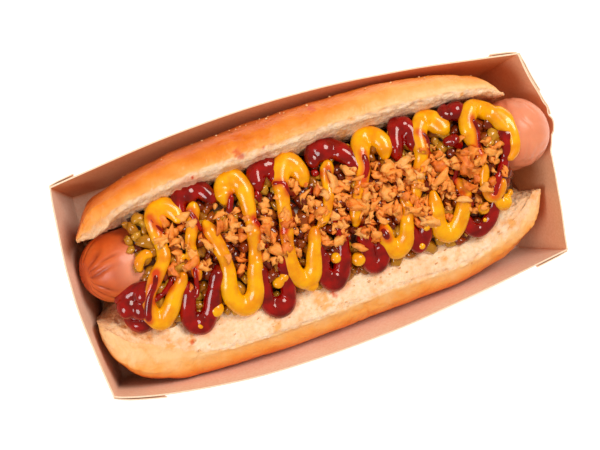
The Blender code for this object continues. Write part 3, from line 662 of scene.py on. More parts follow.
def tray_point(wall, t, up):
    """A point of the tray's outer face: t along the wall and up from 0 at the floor to 1 at the rim."""
    floor = Vector.lerp(*wall_ends(FLOOR_CORNERS, wall), t)
    outward = wall_outward(wall).to_2d()
    bulge, peak, _ = WALLS[wall]
    arch = math.sin(math.pi * min(max(t, 0), 1) ** peak)
    rim = Vector.lerp(*wall_ends(RIM_CORNERS, wall), t) + outward * bulge * arch
    plan = floor.lerp(rim, up)
    if wall == "right":
        width = TIP_BUMP_WIDTHS[t > TIP_BUMP_AT]
        dent = TIP_BUMP * math.exp(-(((t - TIP_BUMP_AT) / width) ** 2))
        plan += outward * dent * min(up / TIP_BUMP_FULL, 1)
    return Vector((plan.x, plan.y, up * (TRAY_HEIGHT - RIM_DIP * arch * bulge / RIM_DIP_BULGE)))


def card_waviness(wall, t, up):
    """How far a wall's card is bent in or out at a point, more where the sausage's tip has creased it."""
    place = Vector((t * 7, up * 1.4, 3.7 * list(WALLS).index(wall)))
    wave = CARD_WAVE * noise.noise(place) * up
    if wall == "right":
        near = math.exp(-(((t - TIP_BUMP_AT) / TIP_CREASE_WIDTH) ** 2)) * up
        crease = 1 - abs(noise.noise(Vector((t * 26, up * 5, 0.4)))) * 3
        wave += near * TIP_CREASE * crease
    return wave * math.sin(math.pi * t) ** 0.5 if 0 < t < 1 else 0.0


def thicken(piece, thickness, outward):
    """Gives a sheet of card its thickness, with bare cut edges."""
    sheet = piece.modifiers.new("Card", "SOLIDIFY")
    sheet.thickness = thickness * MM
    sheet.offset = outward
    sheet.use_even_offset = True
    sheet.material_offset_rim = 1
    bake_modifiers(piece)
    piece.data.shade_smooth()
    piece.data.set_sharp_from_angle(angle=FOLD_ANGLE)


def build_tray(materials):
    """Floor and four leaning walls folded from one sheet of card."""
    rows = []
    for level in range(WALL_STEPS_UP + 1):
        up = level / WALL_STEPS_UP
        row = []
        for wall, (_, _, steps) in WALLS.items():
            out = wall_outward(wall)
            for t in (i / steps for i in range(steps)):
                row.append(tray_point(wall, t, up) + out * card_waviness(wall, t, up))
        rows.append([*row, row[0]])
    bm = grid_bmesh(np.array(rows))
    foot = [e for e in bm.edges if e.is_boundary and all(v.co.z < 0.01 * MM for v in e.verts)]
    bmesh.ops.contextual_create(bm, geom=foot)
    bmesh.ops.recalc_face_normals(bm, faces=bm.faces)
    tray = new_piece("card_tray", bm, materials, "card")
    thicken(tray, CARD, -1)
    places, normals = vertex_places(tray.data)
    # painted warm shade on the inner faces that look at the crust
    warm = [
        smooth_step(*band, places[:, axis]) * (normals[:, axis] < INWARD) * share
        for axis, band, share in CARD_WARMTH
    ]
    set_mark(tray.data, "warm", np.max(warm, axis=0))
    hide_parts("tray")


def build_webs(materials):
    """Folded corner webs: each a sheet of card just outside a wall, cut off slantwise."""
    low, high = WEB_RISE
    for number, (wall, at_start, length, out) in enumerate(WEBS):
        start, end = wall_ends(RIM_CORNERS, wall)
        reach = length / (end - start).length
        outward = wall_outward(wall)
        rows = []
        for level in range(WEB_STEPS_UP + 1):
            up = low + (high - low) * level / WEB_STEPS_UP
            row = []
            for share in (step / WEB_STEPS for step in range(WEB_STEPS + 1)):
                t = (WEB_LEAST + reach * up) * share
                t = t if at_start else 1 - t
                lift = out * (0.45 + 0.55 * smooth_step(0, 0.35, share)) + WEB_SPRING * share * up
                row.append(tray_point(wall, t, up) + outward * (lift + card_waviness(wall, t, up)))
            rows.append(row)
        bm = grid_bmesh(np.array(rows))
        facing = sum((f.normal for f in bm.faces), Vector())
        if facing.dot(outward) < 0:
            bmesh.ops.reverse_faces(bm, faces=bm.faces)
        web = new_piece(f"card_web_{number + 1}", bm, materials, "card")
        thicken(web, WEB_CARD, 1)


def bun_line(index, side, u):
    """Points along the bun, u from -1 to 1, of one point of its section: side 0 is crust, 1 the cut face."""
    y, z = BUN_PAIRS[index][side]
    middle_y, middle_z = ((a + b) / 2 for a, b in zip(*BUN_PAIRS[index]))
    back = index < BUN_BACK_PAIRS
    front = index >= len(BUN_PAIRS) - BUN_FRONT_PAIRS
    ends = BUN_ENDS_BACK if back else BUN_ENDS_FRONT if front else BUN_ENDS_BASE
    rise = min(z / BUN_FULL_LENGTH_HEIGHT, 1)
    ends = [low + (high - low) * rise for low, high in zip(BUN_ENDS_BASE, ends)]
    x = ends[0] + (ends[1] - ends[0]) * (u + 1) / 2
    if front:
        outline, noses = (CUT_FRONT if side else CRUST_FRONT), BUN_NOSE_FRONT
    else:
        outline, noses = (CUT_BACK if side else CRUST_BACK), BUN_NOSE_BACK
    nose = noses[0] + (noses[1] - noses[0]) * (u + 1) / 2
    middle_nose = sum(noses) / 2
    share = (smooth_values(outline, x) - nose) / (smooth_values(outline, 0) - middle_nose)
    share = np.clip(share, *BUN_WIDTHS)
    if not back and not front:
        nose = middle_nose = middle_y * BUN_BASE_NOSE
    lift = np.minimum(share**BUN_HEIGHT_POWER, BUN_MOST_LIFT)
    nose_height = BUN_NOSE_FOOT + (middle_z - BUN_NOSE_FOOT) * BUN_NOSE_HEIGHT
    if side and not 3 < index < len(BUN_PAIRS) - 4:
        nose_height = z * BUN_CUT_NOSE_HEIGHT
    return np.stack([x, nose + (y - middle_nose) * share, nose_height + (z - nose_height) * lift], axis=-1)


def bun_surface():
    """The bun's points as stations along it by steps round it, and each step's place from crust to crumb."""
    u = np.sin(0.5 * np.pi * np.linspace(-1, 1, BUN_STATIONS + 1))
    crust, cut = ([bun_line(i, side, u) for i in range(len(BUN_PAIRS))] for side in (0, 1))
    first, last = (crust[0] + cut[0]) / 2, (crust[-1] + cut[-1]) / 2
    first[:, 2] += BUN_TOP_EDGE
    knots = [first, *crust, last, *reversed(cut)]
    middle = BUN_STATIONS // 2
    chords = [np.linalg.norm(b[middle, 1:] - a[middle, 1:]) for a, b in zip(knots, [*knots[1:], knots[0]])]
    spots = np.concatenate([[0], np.cumsum(chords)])
    total = spots[-1]
    places = np.concatenate([spots[-4:-1] - total, spots, spots[1:4] + total])
    values = np.stack([knots[i % len(knots)] for i in range(-3, len(knots) + 4)])
    slopes = np.gradient(values, places, axis=0)
    columns, kinds = [], []
    for k, amount in enumerate([*BUN_STEPS, *reversed(BUN_STEPS)]):
        span = places[k + 4] - places[k + 3]
        for t in (i / amount for i in range(amount)):
            columns.append(between(values, slopes, k + 3, span, t))
            kinds.append(k + t)
    surface = np.stack([*columns, columns[0]], axis=1)
    around = surface.shape[1] - 1
    for row in (0, -1):  # crust and cut face meet at the ends
        surface[row] = (surface[row] + surface[row][(-np.arange(around + 1)) % around]) / 2
    return surface, np.array([*kinds, 0.0])


def axis_at(x):
    """The sausage's axis over x: its place across, its height and its radius."""
    side, height = (smooth_values([(p[0], p[i]) for p in SAUSAGE_AXIS], x) for i in (1, 2))
    share = np.clip((x - SAUSAGE_AXIS[0][0]) / (SAUSAGE_AXIS[-1][0] - SAUSAGE_AXIS[0][0]), 0, 1)
    return side, height, SAUSAGE_RADII[0] + (SAUSAGE_RADII[1] - SAUSAGE_RADII[0]) * share


def clear_of_sausage(points, gap):
    """Points moved straight out from the sausage's axis until they are a gap clear of its skin."""
    side, height, radius = axis_at(points[..., 0])
    centre = np.stack([side, height], axis=-1)
    off = points[..., 1:] - centre
    distance = np.linalg.norm(off, axis=-1)
    inside = (points[..., 0] > SAUSAGE_AXIS[0][0]) & (points[..., 0] < SAUSAGE_AXIS[-1][0])
    reach = np.where(inside, radius + gap, 0)
    scale = np.maximum(reach / np.maximum(distance, 1e-6), 1)
    moved = points.copy()
    moved[..., 1:] = centre + off * scale[..., None]
    return moved


def crust_creases(places):
    """How deep the crust is creased at each place, 0 to about 1: bent folds in a few patches."""
    creases = np.zeros(len(places))
    for seed, (x, y, reach, turn) in enumerate(CRUST_CREASES, 7):
        near = np.exp(-(((places[:, 0] - x) / reach) ** 2 + ((places[:, 1] - y) / 12) ** 2))
        along = places @ np.array([math.cos(turn), math.sin(turn), 0.2])
        warp = noise_at(places, 7, 2, seed) * 1.3
        wave = 1 - np.abs(np.sin(along / CREASE_SPACING + warp * 2.2))
        creases += near * smooth_step(0.5, 1.0, wave)
    return creases


def bread_relief(places, signed, crumb, ragged, creases, holes):
    """How far each place of the bread stands out: soft swells, torn crumb, creases, pores and a torn lip."""
    swell = noise_at(places, 13, 2, 2) * 0.35 + noise_at(places, 4.5, 3, 3) * (0.16 + 0.3 * crumb)
    torn = noise_at(places, 1.6, 3, 6) * 0.36
    push = swell + crumb * (torn - holes) - (1 - crumb) * creases * CREASE_DEPTH
    lip = np.exp(-(((signed + 0.25) / 0.35) ** 2))
    push += lip * (0.25 + 0.35 * ragged)
    for x, y, radius, depth in CRUMB_HOLES:
        x, y = seen_at(x, y, CRUMB_LEVEL)
        off = np.hypot(places[:, 0] - x, (places[:, 1] - y) * 1.3) + ragged * 0.4
        push -= depth * (1 - smooth_step(radius * 0.3, radius, off)) * (places[:, 2] > 25)
    return push * smooth_step(0.0, 6.0, places[:, 2])  # the base stays flat


def browning(places, crust_bake, crumb, front_left, creases, holes):
    """How dark each place is made, 0 to 1: the crust's browning with painted shade in its creases, darker
    low in front and towards the left of the back half; the crumb darker towards the bun's ends, with painted
    shade in its pores.
    """
    across_back = (places[:, 1] > 0) * (0.1 - 0.3 * smooth_step(-30, 60, places[:, 0]))
    low_front = smooth_step(33, 26, places[:, 2]) * (places[:, 1] < 0)
    crust_bake = crust_bake + 0.1 * noise_at(places, 22, 2, 12) + across_back
    # painted shade in the crust's creases; the front crust is also made darker low down, more so at its left
    crust_bake += (0.12 + 0.35 * front_left) * low_front + 0.1 * creases
    ends = smooth_step(55, 85, np.abs(places[:, 0] - 5))
    # 0.7 * holes is painted shade in the crumb's pores
    crumb_toast = 0.08 + 0.4 * ends + 0.35 * noise_at(places, 6, 3, 13) + 0.7 * holes
    return np.clip(crust_bake * (1 - crumb) + crumb_toast * crumb, 0, 1)


def build_bun(material, sauce_paths):
    """The split bun: crust with creases at its ends, torn cut edge, and an open crumb on the cut faces."""
    surface, kinds = bun_surface()
    half = len(BUN_PAIRS) + 1
    edge = np.minimum(kinds, 2 * half - kinds)  # 0 along the back half's top edge, half along the front one
    # the crust's browning from the cut edge, partly a painted highlight near the edge and painted shade
    # lower down
    bake = np.where(edge < 9, np.interp(edge, *BAKE_BACK), np.interp(half - edge, *BAKE_FRONT))
    bake = bake * (kinds < half)
    rows = surface.shape[0]
    marks = {"bake": np.tile(bake, (rows, 1)), "kind": np.tile(kinds, (rows, 1))}
    bun = new_piece("milk_bread_bun", grid_bmesh(surface, marks), [material], "bread")
    mesh = bun.data
    places, normals = vertex_places(mesh)
    kind = get_mark(mesh, "kind")
    edge = np.minimum(kind, 2 * half - kind)
    signed = np.where(kind < half, -1, 1) * np.minimum(edge, half - edge)  # pairs past the cut edge
    ragged = noise_at(places, 2.2, 3, 1)
    front_left = smooth_step(-42, -72, places[:, 0]) * (places[:, 1] < 0)
    crumb = smooth_step(-0.35, 0.25, signed + 0.5 * ragged - 0.1 - 1.5 * front_left)
    holes = sum(pores_at(places, size, share, seed) * depth for size, share, seed, depth in CRUMB_PORES)
    creases = crust_creases(places)
    moved = places + normals * bread_relief(places, signed, crumb, ragged, creases, holes)[:, None]
    moved[:, 2] = np.maximum(moved[:, 2], BUN_FLOOR)
    moved = clear_of_sausage(moved, BUN_GAP)
    mesh.vertices.foreach_set("co", (moved * MM).ravel())
    mesh.update()
    set_mark(mesh, "crumb", crumb)
    set_mark(mesh, "bake", browning(places, get_mark(mesh, "bake"), crumb, front_left, creases, holes))
    red = spot_mark(moved, RED_SPOTS, 0.75) + sauce_edge(moved, sauce_paths["ketchup"], 0.35)
    yellow = spot_mark(moved, YELLOW_SPOTS, 0.7) + sauce_edge(moved, sauce_paths["mustard"], 0.5)
    set_mark(mesh, "red", red)
    set_mark(mesh, "yellow", yellow)
    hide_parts("bun")
    return bun


def spot_mark(places, spots, strength):
    """How strongly each place is stained by the nearest spot."""
    stain = np.zeros(len(places))
    ragged = noise_at(places, 1.8, 3, 21)
    for x, y, radius in spots:
        off = np.hypot(places[:, 0] - x, places[:, 1] - y) + ragged * radius * 0.7
        stain = np.maximum(stain, strength * (1 - smooth_step(radius * 0.35, radius, off)))
    return stain * (places[:, 2] > STAINED_ABOVE)


def bead_distance(paths):
    """A function that gives how far outside the nearest bead of sauce a place in plan lies."""
    tree = KDTree(sum(len(path) for path, _ in paths))
    radii = []
    for path, radius in paths:
        for x, y in path:
            tree.insert((x, y, 0), len(radii))
            radii.append(radius)
    tree.balance()

    def outside(x, y):
        _, index, distance = tree.find((x, y, 0))
        return distance - radii[index]

    return outside


def sauce_edge(places, paths, strength):
    """How strongly each place is stained by the beads of sauce that lie near it."""
    outside = bead_distance(paths)
    stain = np.zeros(len(places))
    for i, (x, y, z) in enumerate(places):
        if z > STAINED_ABOVE:
            stain[i] = strength * max(0.0, 1 - max(0.0, outside(x, y)) / STAIN_REACH)
    return stain


def seen_at(x, y, height):
    """The place at a height that the camera sees where it sees this point of the sight level."""
    share = (CAMERA_PLACE.z - height) / (CAMERA_PLACE.z - SIGHT_LEVEL)
    return CAMERA_PLACE.x + (x - CAMERA_PLACE.x) * share, CAMERA_PLACE.y + (y - CAMERA_PLACE.y) * share


def sausage_level(level, total):
    """How far along the sausage a ring of its mesh lies, and the ring's girth as a share."""
    if level < DOME_STEPS:
        turn = 0.5 * math.pi * level / DOME_STEPS
        return SAUSAGE_RADII[0] * (1 - math.cos(turn)), math.sin(turn)
    if level > SAUSAGE_STEPS - DOME_STEPS:
        turn = 0.5 * math.pi * (SAUSAGE_STEPS - level) / DOME_STEPS
        return total - SAUSAGE_RADII[1] * (1 - math.cos(turn)), math.sin(turn)
    straight = total - sum(SAUSAGE_RADII)
    return SAUSAGE_RADII[0] + straight * (level - DOME_STEPS) / (SAUSAGE_STEPS - 2 * DOME_STEPS), 1.0


def tip_pleat(around, reach, warp):
    """How deep the skin is folded, 0 to 1, a turn round the drawn-in tip and so many radii from it."""
    fold = abs(math.sin(around * TIP_PLEATS + warp * 2.6))
    long = 0.5 + 0.5 * noise.noise(Vector((math.cos(around) * 3, math.sin(around) * 3, 9)))
    gather = smooth_step(0.0, 0.05, reach) * (1 - smooth_step(0.1 + 0.3 * long, 0.35 + 1.1 * long, reach))
    return (1 - min(fold * 1.7, 1)) ** 1.2 * float(gather)


def build_sausage(material):
    """A sausage in its skin, drawn together in creases at its left end."""
    axis = smooth_path(SAUSAGE_AXIS, 2)
    lengths = np.concatenate([[0], np.cumsum([(b - a).length for a, b in zip(axis, axis[1:])])])
    total = lengths[-1]
    tracks = np.array(axis).T

    def centre(along):
        return Vector([float(np.interp(along, lengths, track)) for track in tracks])

    bm = bmesh.new()
    bmesh.ops.create_uvsphere(bm, u_segments=SAUSAGE_SIDES, v_segments=SAUSAGE_STEPS, radius=1.0)
    rosy, pleat = (bm.verts.layers.float.new(name) for name in ("rosy", "pleat"))
    for vertex in bm.verts:
        level = round(math.acos(max(-1, min(1, -vertex.co.z))) / math.pi * SAUSAGE_STEPS)
        around = math.atan2(vertex.co.y, vertex.co.x)
        along, share = sausage_level(level, total)
        middle = centre(along)
        forward = (centre(min(along + 3, total)) - centre(max(along - 3, 0))).normalized()
        across = Vector((0, 1, 0)) - forward * forward.y
        across.normalize()
        up = forward.cross(across) * -1
        direction = across * math.cos(around) + up * math.sin(around)
        radius = float(axis_at(middle.x)[2]) * share
        swell = SAUSAGE_SWELL * noise.noise(Vector((along / 17, math.cos(around), math.sin(around))))
        reach = along / SAUSAGE_RADII[0]
        warp = noise.noise(Vector((math.cos(around) * 1.5, math.sin(around) * 1.5, reach * 0.8)))
        depth = tip_pleat(around, reach, warp)
        wrinkle = 1 - 2.6 * abs(noise.noise(Vector((along * 0.22, around * 1.6 + warp, 4))))
        near_end = 1 - smooth_step(0.9, 2.2, (total - along) / SAUSAGE_RADII[1])
        ripple = -WRINKLE_DEPTH * max(wrinkle, 0) ** 2 * float(near_end)
        skin = (swell - PLEAT_DEPTH * depth) * min(share * 1.5, 1) + ripple * share
        place = middle + direction * (radius + skin)
        if level < DOME_STEPS:
            place += forward * TIP_DIMPLE * (1 - float(smooth_step(0.0, 0.1, reach)))
        vertex.co = place * MM
        # painted pink highlight on the top of the left end and over the right end; painted shade in the
        # tip's pleats
        patch = math.exp(-(((middle.x + 71) / 8) ** 2) - ((place.y - 3) / 7) ** 2)
        vertex[rosy] = min(1.0, patch + float(smooth_step(70, 88, middle.x)) * 0.6)
        vertex[pleat] = min(1.0, 0.8 * depth)
    bmesh.ops.recalc_face_normals(bm, faces=bm.faces)
    sausage = new_piece("smoked_sausage", bm, [material], "sausage")
    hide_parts("sausage")
    return sausage


def heap_height(x, y):
    """Height of the relish heap's surface over places in plan."""
    _, axis_height, radius = axis_at(x)
    ridge = axis_height + radius + smooth_values(HEAP_COVER, x)
    back = ridge - 1.5 * (np.maximum(y - HEAP_RIDGE, 0) / 18) ** 2
    fall = np.clip((HEAP_RIDGE - y) / (HEAP_RIDGE - HEAP_SIDES[0]), 0, 1.2)
    return np.where(y > HEAP_RIDGE, back, ridge - (ridge - HEAP_FOOT) * fall**1.7)


def build_syrup(material):
    """The heap's dark core, which fills the gaps between the chunks: partly sauce, partly painted shade."""
    lines = (np.linspace(*ends, steps + 1) for ends, steps in zip((SYRUP_ENDS, HEAP_SIDES), SYRUP_STEPS))
    x, y = np.meshgrid(*lines, indexing="ij")
    y = HEAP_RIDGE + (y - HEAP_RIDGE) * (1 - 0.45 * np.abs(x / HEAP_ENDS[1]) ** 5)  # narrower to its ends
    z = heap_height(x, y) - SYRUP_SUNK
    z = z + 0.8 * noise_at(np.stack([x, y, z], axis=-1).reshape(-1, 3), 4, 3, 31).reshape(x.shape)
    from_side = 1 - np.abs(np.linspace(-1, 1, SYRUP_STEPS[1] + 1))
    z = z - (1 - np.minimum(from_side, SYRUP_RIM) / SYRUP_RIM) * SYRUP_RIM_DROP
    bm = grid_bmesh(np.stack([x, y, z], axis=-1))
    low = bmesh.ops.extrude_face_region(bm, geom=bm.faces[:])["geom"]
    for vertex in (g for g in low if isinstance(g, bmesh.types.BMVert)):
        vertex.co.z -= SYRUP_DEPTH * MM
    bmesh.ops.recalc_face_normals(bm, faces=bm.faces)
    syrup = new_piece("relish_syrup_and_shade", bm, [material], "relish_and_sauces")
    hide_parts("toppings")
    return syrup


class Ground:
    """Heights, in millimetres, of what has been laid so far, on a level grid of small cells."""

    cell = 0.5
    low = (-98.0, -46.0)
    counts = (400, 186)
    above = 80

    def __init__(self, pieces):
        trees = []
        for piece in pieces:
            bm = bmesh.new()
            bm.from_mesh(piece.data)
            trees.append(BVHTree.FromBMesh(bm))
            bm.free()
        self.height = np.zeros(self.counts)
        for i in range(self.counts[0]):
            for j in range(self.counts[1]):
                start = Vector((self.low[0] + i * self.cell, self.low[1] + j * self.cell, self.above)) * MM
                hits = [tree.ray_cast(start, Vector((0, 0, -1)))[0] for tree in trees]
                self.height[i, j] = max([hit.z / MM for hit in hits if hit] or [0.0])

    def window(self, x, y, radius):
        """The cells within a radius of a place, and how far each is from it."""
        i0 = max(0, math.floor((x - radius - self.low[0]) / self.cell))
        i1 = min(self.counts[0], math.ceil((x + radius - self.low[0]) / self.cell) + 1)
        j0 = max(0, math.floor((y - radius - self.low[1]) / self.cell))
        j1 = min(self.counts[1], math.ceil((y + radius - self.low[1]) / self.cell) + 1)
        xs = self.low[0] + np.arange(i0, i1) * self.cell
        ys = self.low[1] + np.arange(j0, j1) * self.cell
        return (slice(i0, i1), slice(j0, j1)), np.hypot(xs[:, None] - x, ys[None, :] - y)

    def under(self, x, y, radius):
        """The height that a round thing of this radius comes to rest on."""
        cells, distance = self.window(x, y, radius)
        near = self.height[cells][distance <= radius]
        return float(np.percentile(near, 80)) if near.size else 0.0

    def lay(self, x, y, z, radius, flat=1.0):
        """Adds a ball, flattened by flat, with its centre at a place."""
        cells, distance = self.window(x, y, radius)
        before = self.height[cells]
        dome = z + flat * np.sqrt(np.clip(radius**2 - distance**2, 0, None))
        self.height[cells] = np.where(distance < radius, np.maximum(before, dome), before)


def plan_path(points, height=SAUCE_LEVEL):
    """A line of sauce in plan, from its points as the camera sees them."""
    seen = [Vector((*seen_at(x, y, height), 0)) for x, y in points]
    return smooth_path(seen, STRAND_STEP)


def plan_pairs(strands, height=SAUCE_LEVEL, share=1.0):
    """Each line of sauce as its places in plan and its radius, or a share of it."""
    return [([(p.x, p.y) for p in plan_path(points, height)], radius * share) for points, radius in strands]


def top_limit(x, y):
    """The height at a place in plan that toppings are kept near, so that none stands too high."""
    return min(max(float(heap_height(x, y)), TOP_LIMITS[0]), TOP_LIMITS[1])


def bead_widths(plan, radius, seed):
    """A bead's radius at each point: uneven, wider in the loops at its sides, thin at its ends."""
    widths = []
    for i, p in enumerate(plan):
        uneven = 1.06 + 0.2 * noise.noise(Vector((p.x / 5, p.y / 5, seed)))
        slow = 0.8 + 0.36 * float(smooth_step(7, 20, abs(p.y - 2)))
        end = min(i, len(plan) - 1 - i) * STRAND_STEP / radius
        widths.append(radius * uneven * slow * math.sqrt(min(1.0, 0.3 + 0.7 * min(end, 1.0) ** 1.2)))
    return widths


def bead_heights(plan, widths, ground, rise, room):
    """The height of a bead's middle at each point: it rests on what lies below and spans small gaps."""
    rests = np.array([ground.under(p.x, p.y, w * 0.8) for p, w in zip(plan, widths)])
    smooth = np.convolve(np.pad(rests, 2, mode="edge"), np.ones(5) / 5, "valid")
    heights = np.maximum(smooth, rests - 0.9) + rise * np.array(widths)
    return np.minimum(heights, [top_limit(p.x, p.y) + room - 0.9 * w for p, w in zip(plan, widths)])


def bead_bmesh(plan, widths, heights):
    """A bead as rings round its line, drawn to a point just past each end."""
    turns = [2 * math.pi * side / STRAND_SIDES for side in range(STRAND_SIDES + 1)]
    rows = []
    for i, (p, w, z) in enumerate(zip(plan, widths, heights)):
        ahead = (plan[min(i + 1, len(plan) - 1)] - plan[max(i - 1, 0)]).normalized()
        across = Vector((-ahead.y, ahead.x, 0)) * w
        up = Vector((0, 0, BEAD_FLATNESS * w))
        centre = Vector((p.x, p.y, z))
        rows.append([centre + across * math.cos(turn) + up * math.sin(turn) for turn in turns])
    first = plan[0] - (plan[1] - plan[0]).normalized() * widths[0] * BEAD_NOSE
    last = plan[-1] + (plan[-1] - plan[-2]).normalized() * widths[-1] * BEAD_NOSE
    rows.insert(0, [Vector((first.x, first.y, heights[0]))] * len(turns))
    rows.append([Vector((last.x, last.y, heights[-1]))] * len(turns))
    return grid_bmesh(np.array(rows))


def lay_beads(strands, ground, seed, rise, room):
    """Squeezed lines of sauce that sink a little into what they lie on and run together where they touch."""
    whole = bmesh.new()
    for number, (points, radius) in enumerate(strands):
        plan = plan_path(points)
        widths = bead_widths(plan, radius, seed + number)
        heights = bead_heights(plan, widths, ground, rise, room)
        for p, w, z in zip(plan, widths, heights):
            ground.lay(p.x, p.y, z, w, 0.6)
        mesh = bpy.data.meshes.new("bead")
        bead = bead_bmesh(plan, widths, heights)
        bead.to_mesh(mesh)
        bead.free()
        whole.from_mesh(mesh)
        bpy.data.meshes.remove(mesh)
    return whole


def add_drops(bm, drops, ground, rise):
    """Blobs of sauce, a little flattened."""
    for x, y, radius in drops:
        x, y = seen_at(x, y, DROP_LEVEL)
        z = ground.under(x, y, radius * 0.7) + rise * radius
        z = min(z, top_limit(x, y) + DROP_ROOM - 0.8 * radius)
        for vertex in bmesh.ops.create_icosphere(bm, subdivisions=3, radius=1.0)["verts"]:
            wobble = 1 + 0.12 * noise.noise(vertex.co * 1.5 + Vector((x, y, 0)))
            place = vertex.co * radius
            vertex.co = Vector((x + place.x * wobble, y + place.y * wobble, z + place.z * 0.75)) * MM
        ground.lay(x, y, z, radius, 0.75)


def new_sauce(name, bm, material, voxel):
    """A sauce's piece, its overlapping beads and drops run together and the joins softened."""
    piece = new_piece(name, bm, [material], "relish_and_sauces")
    remesh = piece.modifiers.new("Fuse", "REMESH")
    remesh.mode = "VOXEL"
    remesh.voxel_size = voxel * MM
    soften = piece.modifiers.new("Soften", "SMOOTH")
    soften.factor = 0.5
    soften.iterations = 4
    bake_modifiers(piece)
    piece.data.shade_smooth()
    return piece


def scatter_bits(name, kind, material, ground, rng, where, tones):
    """Uneven bits of one kind dropped one by one where they fit, each on what lies below it."""
    bm = bmesh.new()
    tone = bm.verts.layers.float.new("tone")
    placed = []
    tries = 0
    while len(placed) < kind["count"] and tries < kind["count"] * TRIES_PER_BIT:
        tries += 1
        spot = where(rng)
        if spot is None:
            continue
        x, y = spot
        size = rng.uniform(*kind["sizes"]) * (1 if rng.random() < USUAL_BITS else LARGER)
        if any(math.hypot(x - a, y - b) < kind["spacing"] * (size + s) / 2 for a, b, s in placed):
            continue
        placed.append((x, y, size))
        z = min(ground.under(x, y, size * 0.35) + kind["lift"] * size, top_limit(x, y) + kind["room"])
        add_bit(bm, tone, Vector((x, y, z)), size, kind, rng, tones)
        ground.lay(x, y, z, size * 0.42, 0.7)
    bmesh.ops.recalc_face_normals(bm, faces=bm.faces)
    return new_piece(name, bm, [material], "relish_and_sauces")


def add_bit(bm, tone, place, size, kind, rng, tones):
    """One ragged, slightly bent bit, turned at random, with a tone of its own."""
    long, wide, thick = (size * rng.uniform(*share) for share in kind["shape"])
    turn = Matrix.Rotation(rng.uniform(0, 2 * math.pi), 3, "Z")
    for axis in ("X", "Y"):
        turn = turn @ Matrix.Rotation(rng.uniform(-0.5, 0.5), 3, axis)
    shade = tones(place.x, place.y, rng)
    seed = Vector((rng.uniform(0, 50), rng.uniform(0, 50), 0))
    bend = rng.uniform(-0.5, 0.5)
    for vertex in bmesh.ops.create_icosphere(bm, subdivisions=2, radius=0.5)["verts"]:
        v = vertex.co.copy()
        ragged = 1 + kind["roughness"] * (noise.noise(v * 2.6 + seed) + 0.7 * noise.noise(v * 6 + seed))
        v = Vector((v.x * long, v.y * wide, v.z * thick)) * ragged
        v.y += bend * v.x * v.x / long
        vertex.co = (place + turn @ v) * MM
        vertex[tone] = shade


def relish_spot(rng):
    """A place on the heap for a chunk of relish, in plan."""
    x = rng.uniform(HEAP_ENDS[0] + 8, HEAP_ENDS[1] - 4)
    y = rng.uniform(-23, 22)
    return (x, y) if smooth_values(RELISH_FRONT, x) < y < smooth_values(RELISH_BACK, x) else None


def onion_spot(rng, outside_mustard):
    """A place for a piece of fried onion: most lie in the middle of the right half, few on the mustard."""
    x = rng.uniform(*ONION_ENDS)
    y = rng.gauss(1.0, 7.0)
    if not ONION_SIDES[0] < y < ONION_SIDES[1]:
        return None
    crowd = float(smooth_values(ONION_CROWD, x)) + 0.6 * noise.noise(Vector((x / 9, y / 9, 3)))
    place = seen_at(x, y, ONION_LEVEL)
    if rng.random() > crowd or outside_mustard(*place) < 0.4 and rng.random() < ONION_KEPT_OFF:
        return None
    return place


def relish_tone(x, y, rng):
    """Chunks at the heap's edges are clean and olive, those in its middle are dark with sauce."""
    clean = max(float(smooth_step(6, 17, abs(y))), float(smooth_step(48, 62, -x)))
    return rng.uniform(0.45, 0.95) if rng.random() < 0.12 + 0.75 * clean else rng.uniform(0.0, 0.4)


def onion_tone(x, y, rng):
    """Pieces are fried to one of a few tones, wherever they lie."""
    return rng.choice((0.15, 0.3, 0.4, 0.5)) + rng.uniform(-0.06, 0.06)


def add_crumbs(material, ground, rng):
    """Small crumbs along the back crust and on the front half's crumb."""
    bm = bmesh.new()
    for _ in range(CRUMBS):
        x = rng.uniform(-70, 72)
        if rng.random() < 0.45:
            y = float(smooth_values(CRUST_BACK, x)) + rng.uniform(-1.5, 0.3)
        else:
            y = rng.uniform(-33, -24)
        size = rng.uniform(*CRUMB_SIZES)
        z = ground.under(x, y, 0.5) + size * 0.25
        for vertex in bmesh.ops.create_icosphere(bm, subdivisions=1, radius=0.5)["verts"]:
            v = vertex.co * size * rng.uniform(0.7, 1.3)
            vertex.co = Vector((x + v.x * 1.3, y + v.y, z + v.z * 0.8)) * MM
    return new_piece("bread_crumbs", bm, [material], "bread")


def add_area_light(name, place, size, watts, colour):
    """A round soft light turned to the hot dog."""
    lamp = bpy.data.lights.new(name, "AREA")
    lamp.shape = "DISK"
    lamp.size = size * MM
    lamp.energy = watts
    lamp.color = linear(colour)[:3]
    light = bpy.data.objects.new(name, lamp)
    light.location = Vector(place) * MM
    light.rotation_euler = (LIGHTS_AIM - Vector(place)).to_track_quat("-Z", "Y").to_euler()
    bpy.context.scene.collection.objects.link(light)


def add_camera():
    """The camera above the hot dog, turned so that the tray's length rises to the right."""
    view = (CAMERA_AIM - CAMERA_PLACE).normalized()
    right = view.cross(Vector((math.sin(CAMERA_ROLL), math.cos(CAMERA_ROLL), 0))).normalized()
    turn = Matrix((right, right.cross(view), -view)).transposed().to_4x4()
    lens = bpy.data.cameras.new("camera")
    lens.sensor_width = SENSOR_MM
    lens.lens = LENS_MM
    lens.clip_start = 0.01
    camera = bpy.data.objects.new("camera", lens)
    camera.matrix_world = Matrix.Translation(CAMERA_PLACE * MM) @ turn
    bpy.context.scene.collection.objects.link(camera)
    bpy.context.scene.camera = camera


def add_stage_and_light():
    """A white floor and soft light from the upper right."""
    bm = bmesh.new()
    bmesh.ops.create_grid(bm, x_segments=1, y_segments=1, size=FLOOR_HALF * MM)
    floor = new_piece("floor", bm, [floor_material()])
    for light in LIGHTS:
        add_area_light(*light)
    world = bpy.data.worlds.new("studio")
    world.use_nodes = True
    sky = world.node_tree.nodes["Background"]
    set_inputs(world.node_tree, sky, {"Color": SKY_COLOUR, "Strength": SKY_STRENGTH})
    bpy.context.scene.world = world
    bpy.context.scene.view_settings.view_transform = "Standard"


